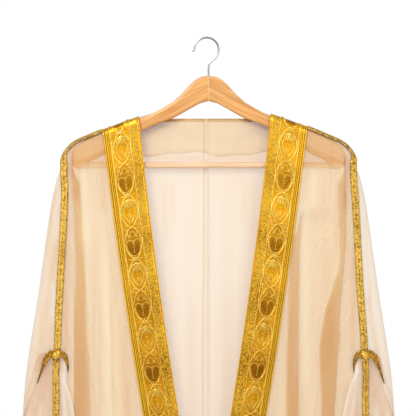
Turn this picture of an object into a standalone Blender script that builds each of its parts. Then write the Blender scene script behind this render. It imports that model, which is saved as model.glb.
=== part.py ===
"""A bisht cloak hanging on a flat wooden hanger.

Metres, +Z up, the viewer at -Y. The origin is the inner top of the hook, where a rail carries it.
Across the cloak, "half" is the distance outward from the middle of the hanger, and side is -1 for
the viewer's left and +1 for the right. "drop" is the distance below the origin.
"""
import math

import bmesh
import bpy
import numpy as np

SIDES = {"left": -1, "right": 1}

# Cloth and seams
CLOTH = 0.0012
GAP = 0.0003
SEAM_HALF = 0.0006
HEM = 1.550

# Depth of the cloak: half the distance between its front and back walls
DEEP_TOP = 0.0090
DEEP_HEM = 0.0250

# Shoulder: the seam leaves the neck, runs down the hanger's arm and turns into the side line
NECK_HALF = 0.0950
NECK_DROP = 0.1221
SLOPE_LENGTH = 0.1237
ROUND_LENGTH = 0.0472
SEAM_HEADINGS = (18.3, 24.5, 90.0)
BACK_NECK_DROP = 0.1306
FACING_REACH = 0.1170
EDGE_REACH = 0.0940
EDGE_LOW = 0.1350

# Front opening and its gold bands
OPENING_SHIFT = -0.0064
BAND_THICK = 0.0016
BAND_LOW = 0.0565
BAND_EXTRA = 0.0040
BAND_COLUMNS = 4
OPENING_HALF_LOW = 0.0650

# Side braid, and the slit for the hand below it
BRAID_WIDE = 0.0110
BRAID_THICK = 0.0028
BRAID_LIFT = 0.0018
BRAID_SHIFT = 0.0035
SLIT_TOP = 0.5050
SLIT_FRONT = 0.2330
TRIM_WIDE = 0.0095
TRIM_THICK = 0.0042
FOLD_CLEAR = 0.0022

# Side lines, measured outward: the braid on the front, and the fold that is the cloak's outline
SIDE_LINES = [
    # drop, braid, fold
    (0.204, 0.2345, 0.2345),
    (0.214, 0.2350, 0.2415),
    (0.230, 0.2355, 0.2475),
    (0.263, 0.2368, 0.2550),
    (0.345, 0.2411, 0.2673),
    (0.426, 0.2453, 0.2790),
    (0.512, 0.2488, 0.2926),
    (0.555, 0.2502, 0.2983),
    (0.615, 0.2520, 0.3030),
    (1.550, 0.2700, 0.3500),
]

# Edge of the back's cloth round the slit: from the braid out to the fold
SLIT_EDGE = [
    # drop, half
    (0.505, 0.2488),
    (0.512, 0.2620),
    (0.520, 0.2685),
    (0.543, 0.2761),
    (0.560, 0.2805),
    (0.612, 0.3010),
    (0.650, 0.3160),
    (1.550, 0.4000),
]

# Laid pleats of the front panels: where each begins, the length over which it turns flat, and
# then its outer edge and the width that lies three deep, at several drops
PLEATS = {
    "left": [
        (0.180, 0.060, [(0.240, 0.2205, 0.009), (0.302, 0.2160, 0.008), (0.382, 0.2150, 0.012),
                        (0.459, 0.2175, 0.018), (0.545, 0.2179, 0.022), (0.615, 0.2180, 0.023),
                        (1.550, 0.2180, 0.026)]),
    ],
    "right": [
        (0.270, 0.060, [(0.150, 0.1740, 0.002), (0.200, 0.1650, 0.002), (0.240, 0.1580, 0.002),
                        (0.270, 0.1525, 0.002), (0.300, 0.1480, 0.004), (0.366, 0.1452, 0.009),
                        (0.475, 0.1448, 0.014), (0.615, 0.1447, 0.016), (1.550, 0.1470, 0.018)]),
        (0.180, 0.060, [(0.230, 0.2205, 0.008), (0.312, 0.2222, 0.007), (0.366, 0.2186, 0.003),
                        (0.410, 0.2150, 0.011), (0.447, 0.2120, 0.020), (0.503, 0.2098, 0.026),
                        (0.556, 0.2060, 0.021), (0.615, 0.2032, 0.017), (1.550, 0.2060, 0.018)]),
    ],
}
PLEAT_ARC = math.pi * 0.0018
INWARD_TOP = 0.226
PLEAT_LEAST = 0.0016
RUN_STEPS = 12

# Soft folds: the place and width of each, and how far it stands out at the hem
FRONT_WAVES = {
    "left": [
        # half, width, out
        (0.1060, 0.0160, 0.0060),
        (0.1480, 0.0110, -0.0050),
        (0.1720, 0.0100, 0.0060),
        (0.2270, 0.0060, -0.0030),
    ],
    "right": [
        (0.0900, 0.0150, 0.0050),
        (0.1680, 0.0130, 0.0070),
        (0.2270, 0.0060, -0.0030),
    ],
}
BACK_WAVES = {
    "left": [
        (0.0280, 0.0120, 0.0070),
        (0.0640, 0.0140, -0.0060),
        (0.1040, 0.0150, 0.0080),
        (0.1500, 0.0160, -0.0060),
        (0.1950, 0.0160, 0.0080),
        (0.2420, 0.0150, -0.0050),
    ],
    "right": [
        (0.0340, 0.0130, 0.0060),
        (0.0750, 0.0150, -0.0060),
        (0.1180, 0.0150, 0.0080),
        (0.1620, 0.0150, -0.0070),
        (0.2080, 0.0160, 0.0070),
        (0.2500, 0.0150, -0.0040),
    ],
}

# Rows of the panels: angles over the shoulder's round, then drops down to the hem
RIDGE_ANGLES = (0.0, 30.0, 60.0, 90.0)
LEVELS = (0.225, 0.280, 0.350, 0.430, 0.500, 0.509, 0.520, 0.545, 0.575, 0.615,
          0.720, 0.880, 1.080, 1.310, HEM)
GORE_TOP = 0.5115

# Columns of the back panels, as places along the shoulder; they are closest at the neck's corner
BACK_COLUMNS = (0.0, 0.014, 0.028, 0.042, 0.056, 0.070, 0.083, 0.0945, 0.1000, 0.1055, 0.117,
                0.130, 0.143, 0.156, 0.169, 0.182, 0.195, 0.208, 0.2225)
WRAP_COLUMNS = (0.14, 0.28, 0.42, 0.56, 0.70, 0.85, 1.0)
GORE_COLUMNS = (0.0, 0.10, 0.20, 0.30, 0.40, 0.50, 0.60, 0.70, 0.80, 0.87, 0.92, 0.96, 1.0)

# Hanger
ARM_THICK = 0.0120
ARM_ROUND = 0.0045
ARM_UNDER_CLOTH = 0.0018
ARM_TOP = [
    # half, drop of the upper edge from the middle to where the cloth covers it
    (0.00015, 0.0606), (0.0120, 0.0622), (0.0220, 0.0676), (0.0320, 0.0768), (0.0440, 0.0905),
    (0.0590, 0.1040), (0.0800, 0.1163), (0.0950, 0.1238),
]
ARM_END = [
    # half, drop round the outer end and the bar's socket
    (0.2110, 0.1715), (0.2185, 0.1775), (0.2225, 0.1860), (0.2235, 0.1960), (0.2215, 0.2070), (0.2140, 0.2125),
    (0.1985, 0.2125), (0.1946, 0.2090),
]
ARM_UNDER = [
    # half, drop of the lower edge, from the socket back to the middle
    (0.1946, 0.2008), (0.1690, 0.1889), (0.1410, 0.1706), (0.1128, 0.1522), (0.0840, 0.1390),
    (0.0556, 0.1288), (0.0293, 0.1138), (0.0140, 0.1055), (0.00015, 0.1017),
]
BAR_RADIUS = 0.0050
BAR_DROP = 0.2065
BAR_HALF = 0.1943
HOOK_WIRE = 0.0016
HOOK_RADIUS = 0.0197
HOOK_SIDE = -0.0034

COLOURS = {
    # name: colour, roughness, metallic
    "sheer_voile": ((0.93, 0.78, 0.59), 0.75, 0.0),
    "gold_brocade": ((0.70, 0.43, 0.06), 0.42, 0.6),
    "gold_braid": ((0.62, 0.38, 0.08), 0.45, 0.6),
    "light_wood": ((0.76, 0.45, 0.17), 0.45, 0.0),
    "polished_steel": ((0.55, 0.56, 0.58), 0.25, 1.0),
}


def ease(t):
    """Go smoothly from 0 to 1 while t goes from 0 to 1."""
    t = np.clip(t, 0.0, 1.0)
    return t * t * (3 - 2 * t)


def smooth(at, places, values):
    """Read a smooth line through the points (places, values) that never overshoots them."""
    at, places, values = np.asarray(at, float), np.asarray(places), np.asarray(values)
    step = np.diff(places)
    slope = np.diff(values) / step
    same = slope[:-1] * slope[1:] > 0
    total = np.where(same, slope[:-1] + slope[1:], 1.0)
    inner = np.where(same, 2 * slope[:-1] * slope[1:] / total, 0.0)
    tangent = np.concatenate([slope[:1], inner, slope[-1:]])
    i = np.clip(np.searchsorted(places, at) - 1, 0, len(step) - 1)
    t = np.clip((at - places[i]) / step[i], 0, 1)
    start = values[i] * (1 + 2 * t) * (1 - t) ** 2 + step[i] * tangent[i] * t * (1 - t) ** 2
    end = values[i + 1] * t * t * (3 - 2 * t) + step[i] * tangent[i + 1] * t * t * (t - 1)
    return start + end


def column_of(table, column):
    """Take one column out of a table of rows."""
    return [row[column] for row in table]


def seam_line():
    """Follow the shoulder seam from the neck to the side: rows of half, y and drop.

    Its heading is measured down from level, and it moves from the crest to the front as it turns.
    """
    length = SLOPE_LENGTH + ROUND_LENGTH
    along = np.linspace(0, length, 241)
    heading = np.radians(np.interp(along, [0, SLOPE_LENGTH, length], SEAM_HEADINGS))
    middle = (heading[1:] + heading[:-1]) / 2
    pace = along[1]
    half = NECK_HALF + np.concatenate([[0], np.cumsum(np.cos(middle)) * pace])
    drop = NECK_DROP + np.concatenate([[0], np.cumsum(np.sin(middle)) * pace])
    y = -DEEP_TOP * ease((np.degrees(heading) - 40) / 50)
    return np.stack([half, y, drop], axis=1)


SEAM = seam_line()


def deep(drop):
    """Give half the distance between the cloak's front and back walls."""
    return DEEP_TOP + (DEEP_HEM - DEEP_TOP) * ease((drop - 0.20) / (HEM - 0.20))


def braid_half(side, drop):
    """Give the side braid's place; the whole line hangs a little to the viewer's right."""
    line = smooth(drop, column_of(SIDE_LINES, 0), column_of(SIDE_LINES, 1))
    return line + side * BRAID_SHIFT * ease((drop - 0.204) / 0.06)


def fold_half(drop):
    """Give the outer fold of the cloak, its outline from the front."""
    return smooth(drop, column_of(SIDE_LINES, 0), column_of(SIDE_LINES, 2))


def band_width(drop):
    """Give the gold band's width, a little more where it crosses the shoulder."""
    return BAND_LOW + BAND_EXTRA * np.exp(-(drop - 0.145) / 0.25)


def opening_half(side, drop):
    """Give the gold band's outer edge: it closes faster and faster, then settles near the hem."""
    below = np.minimum(drop - 0.145, 0.470)
    upper = 0.166 - 0.1188 * below - 0.0523 * below**2
    at_bend = 0.0986
    lower = OPENING_HALF_LOW + (at_bend - OPENING_HALF_LOW) * np.exp(-(drop - 0.615) / 0.200)
    return np.where(drop < 0.615, upper, lower) + side * OPENING_SHIFT


def front_edge(side, drop):
    """Give the front panel's edge at the opening, which is the band's inner edge too."""
    return opening_half(side, drop) - band_width(drop)


def front_side(side, drop):
    """Give the front panel's outer edge: along the braid, then along the slit for the hand."""
    braid = braid_half(side, drop) - SEAM_HALF
    slit = SLIT_FRONT + side * BRAID_SHIFT
    return braid + (slit - braid) * ease((drop - SLIT_TOP) / 0.010)


def back_side(side, drop):
    """Give the edge of the back's cloth, which wraps round to the front as far as the braid."""
    slit = smooth(drop, column_of(SLIT_EDGE, 0), column_of(SLIT_EDGE, 1))
    above = braid_half(side, drop) + SEAM_HALF
    edge = above + (slit - above) * ease((drop - SLIT_TOP) / 0.004)
    return np.minimum(edge, fold_half(drop))


def waves(table, half, drop):
    """Add up the soft folds at one place; each grows from the shoulder to the hem."""
    grow = 0.25 * ease((drop - 0.22) / 0.25) + 0.75 * ease((drop - 0.35) / (HEM - 0.35))
    total = 0.0
    for place, width, out in table:
        total = total + out * np.exp(-(((half - place) / width) ** 2))
    return total * grow


class Pleat:
    """One laid pleat at given drops: an arc out, a stretch back under it, and an arc to go on."""

    def __init__(self, row, drop):
        begins, ramp, table = row
        turned = ease((drop - begins) / ramp)
        self.turn = np.maximum(math.pi * turned, 0.03)
        self.radius = PLEAT_ARC / self.turn
        outer = smooth(drop, column_of(table, 0), column_of(table, 1))
        laid = smooth(drop, column_of(table, 0), column_of(table, 2))
        self.over = PLEAT_LEAST + (laid - PLEAT_LEAST) * turned**8
        self.start = outer - self.radius * np.sin(np.minimum(self.turn, math.pi / 2))
        self.reach = self.start + self.radius * np.sin(self.turn)
        self.under = self.reach + self.over * np.cos(self.turn)
        self.end = self.under + self.radius * np.sin(self.turn)
        self.arc_out = self.radius * (1 - np.cos(self.turn))
        self.step = 2 * self.arc_out + self.over * np.sin(self.turn)

    def place(self, part, t):
        """Give the half and the lift at fraction t of the arc out, the stretch or the arc on."""
        if part == "out":
            angle = self.turn * t
            return (self.start + self.radius * np.sin(angle),
                    self.step - self.radius * (1 - np.cos(angle)))
        if part == "under":
            return (self.reach + self.over * t * np.cos(self.turn),
                    self.step - self.arc_out - self.over * t * np.sin(self.turn))
        angle = self.turn * (1 - t)
        return (self.under + self.radius * (np.sin(self.turn) - np.sin(angle)),
                self.radius * (1 - np.cos(angle)))


def front_columns(count):
    """List a front panel's columns from the opening to the side: part, pleat number, fraction."""
    columns = [("band", 0, t) for t in np.linspace(0, 1, BAND_COLUMNS + 1)]
    steps = RUN_STEPS // count
    for number in range(count):
        columns += [("run", number, t) for t in np.linspace(0, 1, steps + 1)[1:]]
        columns += [("out", number, t) for t in (0.34, 0.67, 1.0)]
        columns += [("under", number, 1.0)]
        columns += [("on", number, t) for t in (0.33, 0.66, 1.0)]
    columns += [("run", count, t) for t in (0.33, 0.66, 1.0)]
    return columns


def front_place(name, column, drop):
    """Give half and y on a front panel's middle surface, for one column at given drops."""
    side = SIDES[name]
    part, number, t = column
    inward = ease((drop - INWARD_TOP) / 0.080)
    edge = front_edge(side, drop)
    if part == "band":
        half, lift = edge + band_width(drop) * t, 0.0
    elif part == "run":
        begin, first = edge + band_width(drop), 0.0
        if number:
            last = Pleat(PLEATS[name][number - 1], drop)
            begin, first = last.end, -last.step * inward
        end, then = front_side(side, drop), 0.0
        if number < len(PLEATS[name]):
            pleat = Pleat(PLEATS[name][number], drop)
            end, then = pleat.start, pleat.step * (1 - inward)
        half = begin + (end - begin) * t
        lift = first + (then - first) * ease(t)
    else:
        pleat = Pleat(PLEATS[name][number], drop)
        half, lift = pleat.place(part, t)
        lift = lift - pleat.step * inward
    return half, -deep(drop) - lift - waves(FRONT_WAVES[name], half, drop)


def back_place(name, column, drop):
    """Give half and y on a back panel's middle surface: flat, then round the fold to the front."""
    side = SIDES[name]
    part, t = column
    across = deep(drop)
    fold = 0.012 + 0.4 * (across - DEEP_TOP)
    turn = fold_half(drop) - fold
    if part == "flat":
        half = SEAM_HALF / 2 + (turn - SEAM_HALF / 2) * t
        return half, across + waves(BACK_WAVES[name], half, drop)
    edge = back_side(side, drop)
    last = math.pi - np.arcsin(np.clip((edge - turn) / fold, 0, 1))
    round_length = last * np.sqrt((fold**2 + across**2) / 2)
    strip_length = np.maximum(turn - edge, 0)
    at = t * (round_length + strip_length)
    angle = np.minimum(at, round_length) / round_length * last
    half = turn + fold * np.sin(angle) - np.maximum(at - round_length, 0)
    lift = waves(BACK_WAVES[name], half, drop) * np.clip(np.cos(angle), 0, 1)
    return half, across * np.cos(angle) + lift


def panel_rows(top):
    """List the drops of one column's rows, from its top on the seam down to the hem."""
    over = [top + DEEP_TOP * (1 - math.cos(math.radians(a))) for a in RIDGE_ANGLES]
    between = (over[-1] + LEVELS[0]) / 2
    return np.array(over + [between] + list(LEVELS))


def over_the_ridge(half, y, drop, top_half, top_y):
    """Bring the first rows of a column over the shoulder's round to its top on the seam."""
    turn = np.clip((drop - drop[0]) / DEEP_TOP, 0, 1)
    share = 1 - np.sqrt(1 - (1 - turn) ** 2)
    return half + (top_half - half[0]) * share, y + (top_y - y[0]) * share


def front_points(name):
    """Work out a front panel's middle surface: rows from shoulder to hem, columns outward."""
    side = SIDES[name]
    columns = front_columns(len(PLEATS[name]))
    edge, outer = front_edge(side, SEAM[:, 2]), SEAM[-1, 0]
    share = (SEAM[:, 0] - edge) / (outer - edge)
    grid = []
    for column in columns:
        half, _ = front_place(name, column, np.array([0.150]))
        first = front_edge(side, 0.150)
        here = (half[0] - first) / (front_side(side, 0.150) - first)
        top = [np.interp(here, share, SEAM[:, i]) for i in range(3)]
        drop = panel_rows(top[2])
        half, y = front_place(name, column, drop)
        half, y = over_the_ridge(half, y, drop, top[0], top[1] - SEAM_HALF / 2)
        grid.append(np.stack([side * half, y, -drop], axis=1))
    return np.stack(grid, axis=1)


def back_top(half):
    """Give y and drop of the back's top edge: the neck curve, then the shoulder seam's crest."""
    ridge = np.interp(half, SEAM[:, 0], SEAM[:, 2])
    crest = np.interp(half, SEAM[:, 0], SEAM[:, 1]) + SEAM_HALF / 2
    y = DEEP_TOP + (crest - DEEP_TOP) * ease((half - 0.095) / 0.010)
    return y, BACK_NECK_DROP + (ridge - BACK_NECK_DROP) * ease((half - 0.076) / 0.018)


def back_points(name):
    """Work out a back panel's middle surface: rows to the hem, columns from the centre seam."""
    side = SIDES[name]
    flat = [("flat", half / BACK_COLUMNS[-1]) for half in BACK_COLUMNS]
    wrap = [("wrap", t) for t in WRAP_COLUMNS]
    turn = fold_half(0.20) - 0.012
    start = np.interp(turn, SEAM[:, 0], np.arange(len(SEAM)))
    grid = []
    for column in flat + wrap:
        if column[0] == "flat":
            top_half = turn * column[1] + SEAM_HALF / 2 * (1 - column[1])
            top_y, top_drop = back_top(top_half)
        else:
            at = start + (len(SEAM) - 1 - start) * column[1]
            top_half, top_y, top_drop = [np.interp(at, np.arange(len(SEAM)), SEAM[:, i])
                                         for i in range(3)]
            top_half, top_y = top_half + SEAM_HALF * column[1], top_y + SEAM_HALF / 2
        drop = panel_rows(float(top_drop))
        half, y = back_place(name, column, drop)
        half, y = over_the_ridge(half, y, drop, top_half, top_y)
        grid.append(np.stack([side * half, y, -drop], axis=1))
    return np.stack(grid, axis=1)


def out_from(points, side, distance):
    """Move a grid of points outward along its normals by a distance."""
    down = np.gradient(points, axis=0)
    across = np.gradient(points, axis=1)
    normal = np.cross(down, across) * side
    normal /= np.linalg.norm(normal, axis=2, keepdims=True)
    return points + normal * distance


def material(name):
    """Make one plain material from the table of colours."""
    colour, roughness, metallic = COLOURS[name]
    made = bpy.data.materials.get(name) or bpy.data.materials.new(name)
    made.use_nodes = True
    shader = made.node_tree.nodes["Principled BSDF"]
    shader.inputs["Base Color"].default_value = (*colour, 1)
    shader.inputs["Roughness"].default_value = roughness
    shader.inputs["Metallic"].default_value = metallic
    made.diffuse_color = (*colour, 1)
    return made


def add_object(name, mesh, look):
    """Put a mesh in the scene under a name, with its material, shaded smooth."""
    mesh.materials.append(material(look))
    mesh.shade_smooth()
    made = bpy.data.objects.new(name, mesh)
    bpy.context.scene.collection.objects.link(made)
    return made


def wall(name, points, thick, look):
    """Make a cloth wall of one thickness on a grid of points."""
    rows, columns = points.shape[:2]
    sheet = bmesh.new()
    verts = [[sheet.verts.new(points[r, c]) for c in range(columns)] for r in range(rows)]
    for r in range(rows - 1):
        for c in range(columns - 1):
            sheet.faces.new((verts[r][c], verts[r][c + 1], verts[r + 1][c + 1], verts[r + 1][c]))
    mesh = bpy.data.meshes.new(name)
    sheet.to_mesh(mesh)
    sheet.free()
    made = add_object(name, mesh, look)
    solid = made.modifiers.new("wall", "SOLIDIFY")
    solid.thickness = thick
    solid.offset = 0
    return made


def sweep(name, path, normals, wide, thick, look, sides=6):
    """Run an oval section along a path; wide lies across the path and thick along the normals."""
    tangent = np.gradient(path, axis=0)
    tangent /= np.linalg.norm(tangent, axis=1, keepdims=True)
    normals = normals - tangent * np.sum(normals * tangent, axis=1, keepdims=True)
    normals /= np.linalg.norm(normals, axis=1, keepdims=True)
    across = np.cross(tangent, normals)
    wide, thick = np.broadcast_to(wide, len(path)), np.broadcast_to(thick, len(path))
    body = bmesh.new()
    rings = []
    for i in range(len(path)):
        ring = []
        for k in range(sides):
            angle = 2 * math.pi * (k + 0.5) / sides
            spot = path[i] + across[i] * wide[i] / 2 * math.cos(angle)
            ring.append(body.verts.new(spot + normals[i] * thick[i] / 2 * math.sin(angle)))
        rings.append(ring)
    for here, there in zip(rings, rings[1:]):
        for k in range(sides):
            n = (k + 1) % sides
            body.faces.new((here[k], here[n], there[n], there[k]))
    body.faces.new(rings[0][::-1])
    body.faces.new(rings[-1])
    bmesh.ops.recalc_face_normals(body, faces=body.faces)
    mesh = bpy.data.meshes.new(name)
    body.to_mesh(mesh)
    body.free()
    return add_object(name, mesh, look)


def back_inside(half, drop, away):
    """Give y beside the back's neck, away from the panel's middle: minus is inside."""
    top_y, top_drop = back_top(half)
    turn = np.clip((drop - top_drop) / DEEP_TOP, 0, 1)
    share = 1 - np.sqrt(1 - (1 - turn) ** 2)
    return DEEP_TOP + (top_y - DEEP_TOP) * share + away


def neck_points(half_reach, top, bottom, away):
    """Lay a strip along the back neck between two drops, given as functions of half."""
    x = np.linspace(-half_reach, half_reach, 25)
    grid = []
    for t in np.linspace(0, 1, 3):
        drop = top(np.abs(x)) + (bottom(x) - top(np.abs(x))) * t
        grid.append(np.stack([x, back_inside(np.abs(x), drop, away), -drop], axis=1))
    return np.stack(grid)


def build_neck():
    """Add the facing inside the back neck and the gold band outside it."""
    facing = neck_points(
        FACING_REACH,
        lambda half: back_top(half)[1] + 0.0010 + 0.0065 * ease((half - 0.078) / 0.014),
        lambda x: 0.1880 + 0.0030 * np.sin(x / 0.021) + 0.0015 * np.sin(x / 0.009),
        -(CLOTH / 2 + GAP + 0.0005))
    wall("back_neck_facing", facing, 0.0010, "sheer_voile")
    band = neck_points(
        EDGE_REACH,
        lambda half: back_top(half)[1] - 0.0008,
        lambda x: EDGE_LOW - 0.0040 * ease((np.abs(x) - 0.080) / 0.014),
        CLOTH / 2 + GAP + BAND_THICK / 2)
    wall("back_neck_band", band, BAND_THICK, "gold_brocade")


def braid_path(name):
    """Follow the seam from the gold band over the shoulder and down to the slit, with normals."""
    side = SIDES[name]
    shoulder = SEAM[SEAM[:, 0] > opening_half(side, 0.150) + 0.0030][::9]
    heading = np.arctan2(np.gradient(shoulder[:, 2]), np.gradient(shoulder[:, 0]))
    lean = np.arcsin(np.clip(-shoulder[:, 1] / DEEP_TOP, 0, 1))
    drops = np.linspace(0.2140, SLIT_TOP - 0.0010, 14)
    line = np.stack([braid_half(side, drops), -deep(drops), drops], axis=1)
    path = np.concatenate([shoulder, line])
    up = np.stack([np.sin(heading) * np.cos(lean), -np.sin(lean),
                   -np.cos(heading) * np.cos(lean)], axis=1)
    normals = np.concatenate([up, np.tile([0.0, -1.0, 0.0], (len(line), 1))])
    clear = CLOTH / 2 + GAP + BRAID_THICK / 2
    near_turn = np.exp(-(((path[:, 2] - 0.196) / 0.022) ** 2))
    path = path + normals * (clear + BRAID_LIFT * near_turn)[:, None]
    flip = np.array([side, 1, -1])
    return path * flip, normals * flip


def gore_edges(side, drop):
    """Give the gore's inner edge, over the front panel, and its outer edge, inside the fold."""
    cap = SLIT_FRONT + side * BRAID_SHIFT + 0.0040
    inner = np.minimum(cap, 0.208 + 0.030 * np.exp(-(drop - 0.540) / 0.055))
    outer = np.minimum(back_side(side, drop) + 0.010, fold_half(drop) - FOLD_CLEAR)
    return inner, outer


def gore_place(side, t, drop):
    """Give half and y on the gore: before the front panel inside, behind the back's cloth outside."""
    inner, outer = gore_edges(side, drop)
    half = inner + (outer - inner) * t
    return half, gore_depth(side, half, drop)


def gore_depth(side, half, drop):
    """Give the gore's y at any half: it slants from the front panel to the outer fold."""
    inner, outer = gore_edges(side, drop)
    t = (half - inner) / (outer - inner)
    across = deep(drop)
    fold = 0.012 + 0.4 * (across - DEEP_TOP)
    share = np.clip((half - fold_half(drop) + fold) / (fold - FOLD_CLEAR), 0, 1)
    forward = 0.0024 + 0.0042 * ease((drop - 0.512) / 0.040)
    lift = forward - (forward + 0.0060) * ease(t)
    wave = 0.0016 * np.sin(2 * math.pi * 3.2 * t + 4 * drop) * ease((drop - 0.52) / 0.2) * (1 - t)
    return -(across + lift + wave) * np.sqrt(1 - share**2)


def gore_points(name):
    """Work out the gore's middle surface from under the trim down to the hem."""
    side = SIDES[name]
    drops = np.array([GORE_TOP] + [level for level in LEVELS if level > GORE_TOP])
    grid = []
    for t in GORE_COLUMNS:
        half, y = gore_place(side, t, drops)
        grid.append(np.stack([side * half, y, -drops], axis=1))
    return np.stack(grid, axis=1)


def gore_braid_path(name):
    """Follow the side line down the gore, with the gore's own normals."""
    side = SIDES[name]
    drops = np.concatenate([np.linspace(0.523, 0.700, 8), np.linspace(0.780, HEM - 0.002, 8)])
    half = braid_half(side, drops)
    reach = 0.003
    rise = (gore_depth(side, half + reach, drops) - gore_depth(side, half - reach, drops))
    normals = np.stack([side * rise / (2 * reach), -np.ones(len(drops)), 0 * drops], axis=1)
    normals /= np.linalg.norm(normals, axis=1, keepdims=True)
    path = np.stack([side * half, gore_depth(side, half, drops), -drops], axis=1)
    return path + normals * (CLOTH / 2 + GAP + BRAID_THICK / 2 + 0.0006), normals


# Trim round the top of the slit: its line, how far before the front wall, and its width
TRIM_LINE = [
    # half, drop, forward, share of the full width
    (0.2805, 0.5597, 0.0027, 0.25),
    (0.2750, 0.5434, 0.0030, 0.60),
    (0.2700, 0.5290, 0.0038, 0.85),
    (0.2640, 0.5170, 0.0052, 1.00),
    (0.2560, 0.5105, 0.0059, 1.00),
    (0.2470, 0.5095, 0.0059, 1.00),
    (0.2385, 0.5130, 0.0060, 0.95),
    (0.2332, 0.5220, 0.0060, 0.70),
    (0.2312, 0.5320, 0.0044, 0.45),
    (0.2310, 0.5410, 0.0034, 0.25),
]


def trim_path(name):
    """Arch the trim over the slit, with how wide it is at each point."""
    side = SIDES[name]
    half, drop, forward, share = (np.array(column_of(TRIM_LINE, i)) for i in range(4))
    at = np.linspace(0, len(half) - 1, 19)
    rows = np.arange(len(half), dtype=float)
    half, drop, forward, share = (smooth(at, rows, v) for v in (half, drop, forward, share))
    half = half + side * BRAID_SHIFT
    path = np.stack([side * half, -deep(drop) - forward, -drop], axis=1)
    return path, np.tile([0.0, -1.0, 0.0], (len(path), 1)), share


def build_cloth(name):
    """Add one side's panels, bands and braids."""
    side = SIDES[name]
    front = front_points(name)
    wall("front_" + name, front, CLOTH, "sheer_voile")
    wall("back_" + name, back_points(name), CLOTH, "sheer_voile")
    band = out_from(front, side, CLOTH / 2 + GAP + BAND_THICK / 2)[:, :BAND_COLUMNS + 1]
    wall("front_band_" + name, band, BAND_THICK, "gold_brocade")
    wall("side_gore_" + name, gore_points(name), CLOTH, "sheer_voile")
    path, normals = braid_path(name)
    sweep("shoulder_braid_" + name, path, normals, BRAID_WIDE, BRAID_THICK, "gold_braid")
    path, normals = gore_braid_path(name)
    sweep("gore_braid_" + name, path, normals, BRAID_WIDE, BRAID_THICK, "gold_braid")
    path, normals, share = trim_path(name)
    sweep("hand_slit_trim_" + name, path, normals, TRIM_WIDE * share,
          TRIM_THICK * (0.4 + 0.6 * share), "gold_braid")


def build_arm(name):
    """Add one arm of the hanger: its outline as a plate with rounded edges."""
    side = SIDES[name]
    under_cloth = [(half, np.interp(half, SEAM[:, 0], SEAM[:, 2]) + ARM_UNDER_CLOTH)
                   for half in (0.115, 0.145, 0.175, 0.200)]
    outline = ARM_TOP + under_cloth + ARM_END + ARM_UNDER
    plate = bmesh.new()
    verts = [plate.verts.new((side * half, -ARM_THICK / 2, -drop)) for half, drop in outline]
    face = plate.faces.new(verts)
    grown = bmesh.ops.extrude_face_region(plate, geom=[face])
    moved = [v for v in grown["geom"] if isinstance(v, bmesh.types.BMVert)]
    bmesh.ops.translate(plate, verts=moved, vec=(0, ARM_THICK, 0))
    bmesh.ops.recalc_face_normals(plate, faces=plate.faces)
    middle = 2 * ARM_TOP[0][0]
    rims = [e for e in plate.edges
            if abs(e.verts[0].co.y - e.verts[1].co.y) < GAP
            and max(abs(v.co.x) for v in e.verts) > middle]
    bmesh.ops.bevel(plate, geom=rims, offset=ARM_ROUND, segments=2, profile=0.5, affect="EDGES")
    mesh = bpy.data.meshes.new("hanger_arm_" + name)
    plate.to_mesh(mesh)
    plate.free()
    add_object("hanger_arm_" + name, mesh, "light_wood")


def build_hanger():
    """Add the hanger: two arms that meet in the middle, the trouser bar and the wire hook."""
    for name in SIDES:
        build_arm(name)
    bar = bmesh.new()
    bmesh.ops.create_cone(bar, cap_ends=True, segments=16, radius1=BAR_RADIUS,
                          radius2=BAR_RADIUS, depth=2 * BAR_HALF)
    mesh = bpy.data.meshes.new("hanger_bar")
    bar.to_mesh(mesh)
    bar.free()
    rod = add_object("hanger_bar", mesh, "light_wood")
    rod.rotation_euler = (0, math.pi / 2, 0)
    rod.location = (0, 0, -BAR_DROP)

    centre_drop = HOOK_RADIUS - HOOK_WIRE
    turns = np.radians(np.linspace(172, -58, 24))
    loop = [(HOOK_SIDE + HOOK_RADIUS * math.cos(a), -centre_drop + HOOK_RADIUS * math.sin(a))
            for a in turns]
    tip = [(-0.0270, -0.0205), (-0.0245, -0.0192), (-0.0233, -0.0175)]
    neck = [(0.0028, -0.0385), (0.0008, -0.0418), (0.0001, -0.0460), (0.0, -0.0520),
            (0.0, -ARM_TOP[0][1] + GAP)]
    curve = bpy.data.curves.new("hanger_hook", "CURVE")
    curve.dimensions = "3D"
    curve.bevel_depth = HOOK_WIRE
    curve.bevel_resolution = 2
    curve.use_fill_caps = True
    line = curve.splines.new("POLY")
    points = tip + loop + neck
    line.points.add(len(points) - 1)
    for point, (x, z) in zip(line.points, points):
        point.co = (x, 0, z, 1)
    curve.materials.append(material("polished_steel"))
    hook = bpy.data.objects.new("hanger_hook", curve)
    bpy.context.scene.collection.objects.link(hook)


def build():
    """Clear the scene and add every piece."""
    for old in list(bpy.data.objects):
        bpy.data.objects.remove(old, do_unlink=True)
    build_hanger()
    build_neck()
    for name in SIDES:
        build_cloth(name)


build()
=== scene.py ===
# %% [markdown]
# # A sheer bisht on a wooden hanger
# A bisht is a wide open cloak. This one is a cream voile so thin that the hanger and the back
# show through the front, edged with bands of gold zari work. The lesson loads the plain model,
# then dresses it: thin cloth with folds, raised gold thread, plaited braid, beech and steel.

import math

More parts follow.
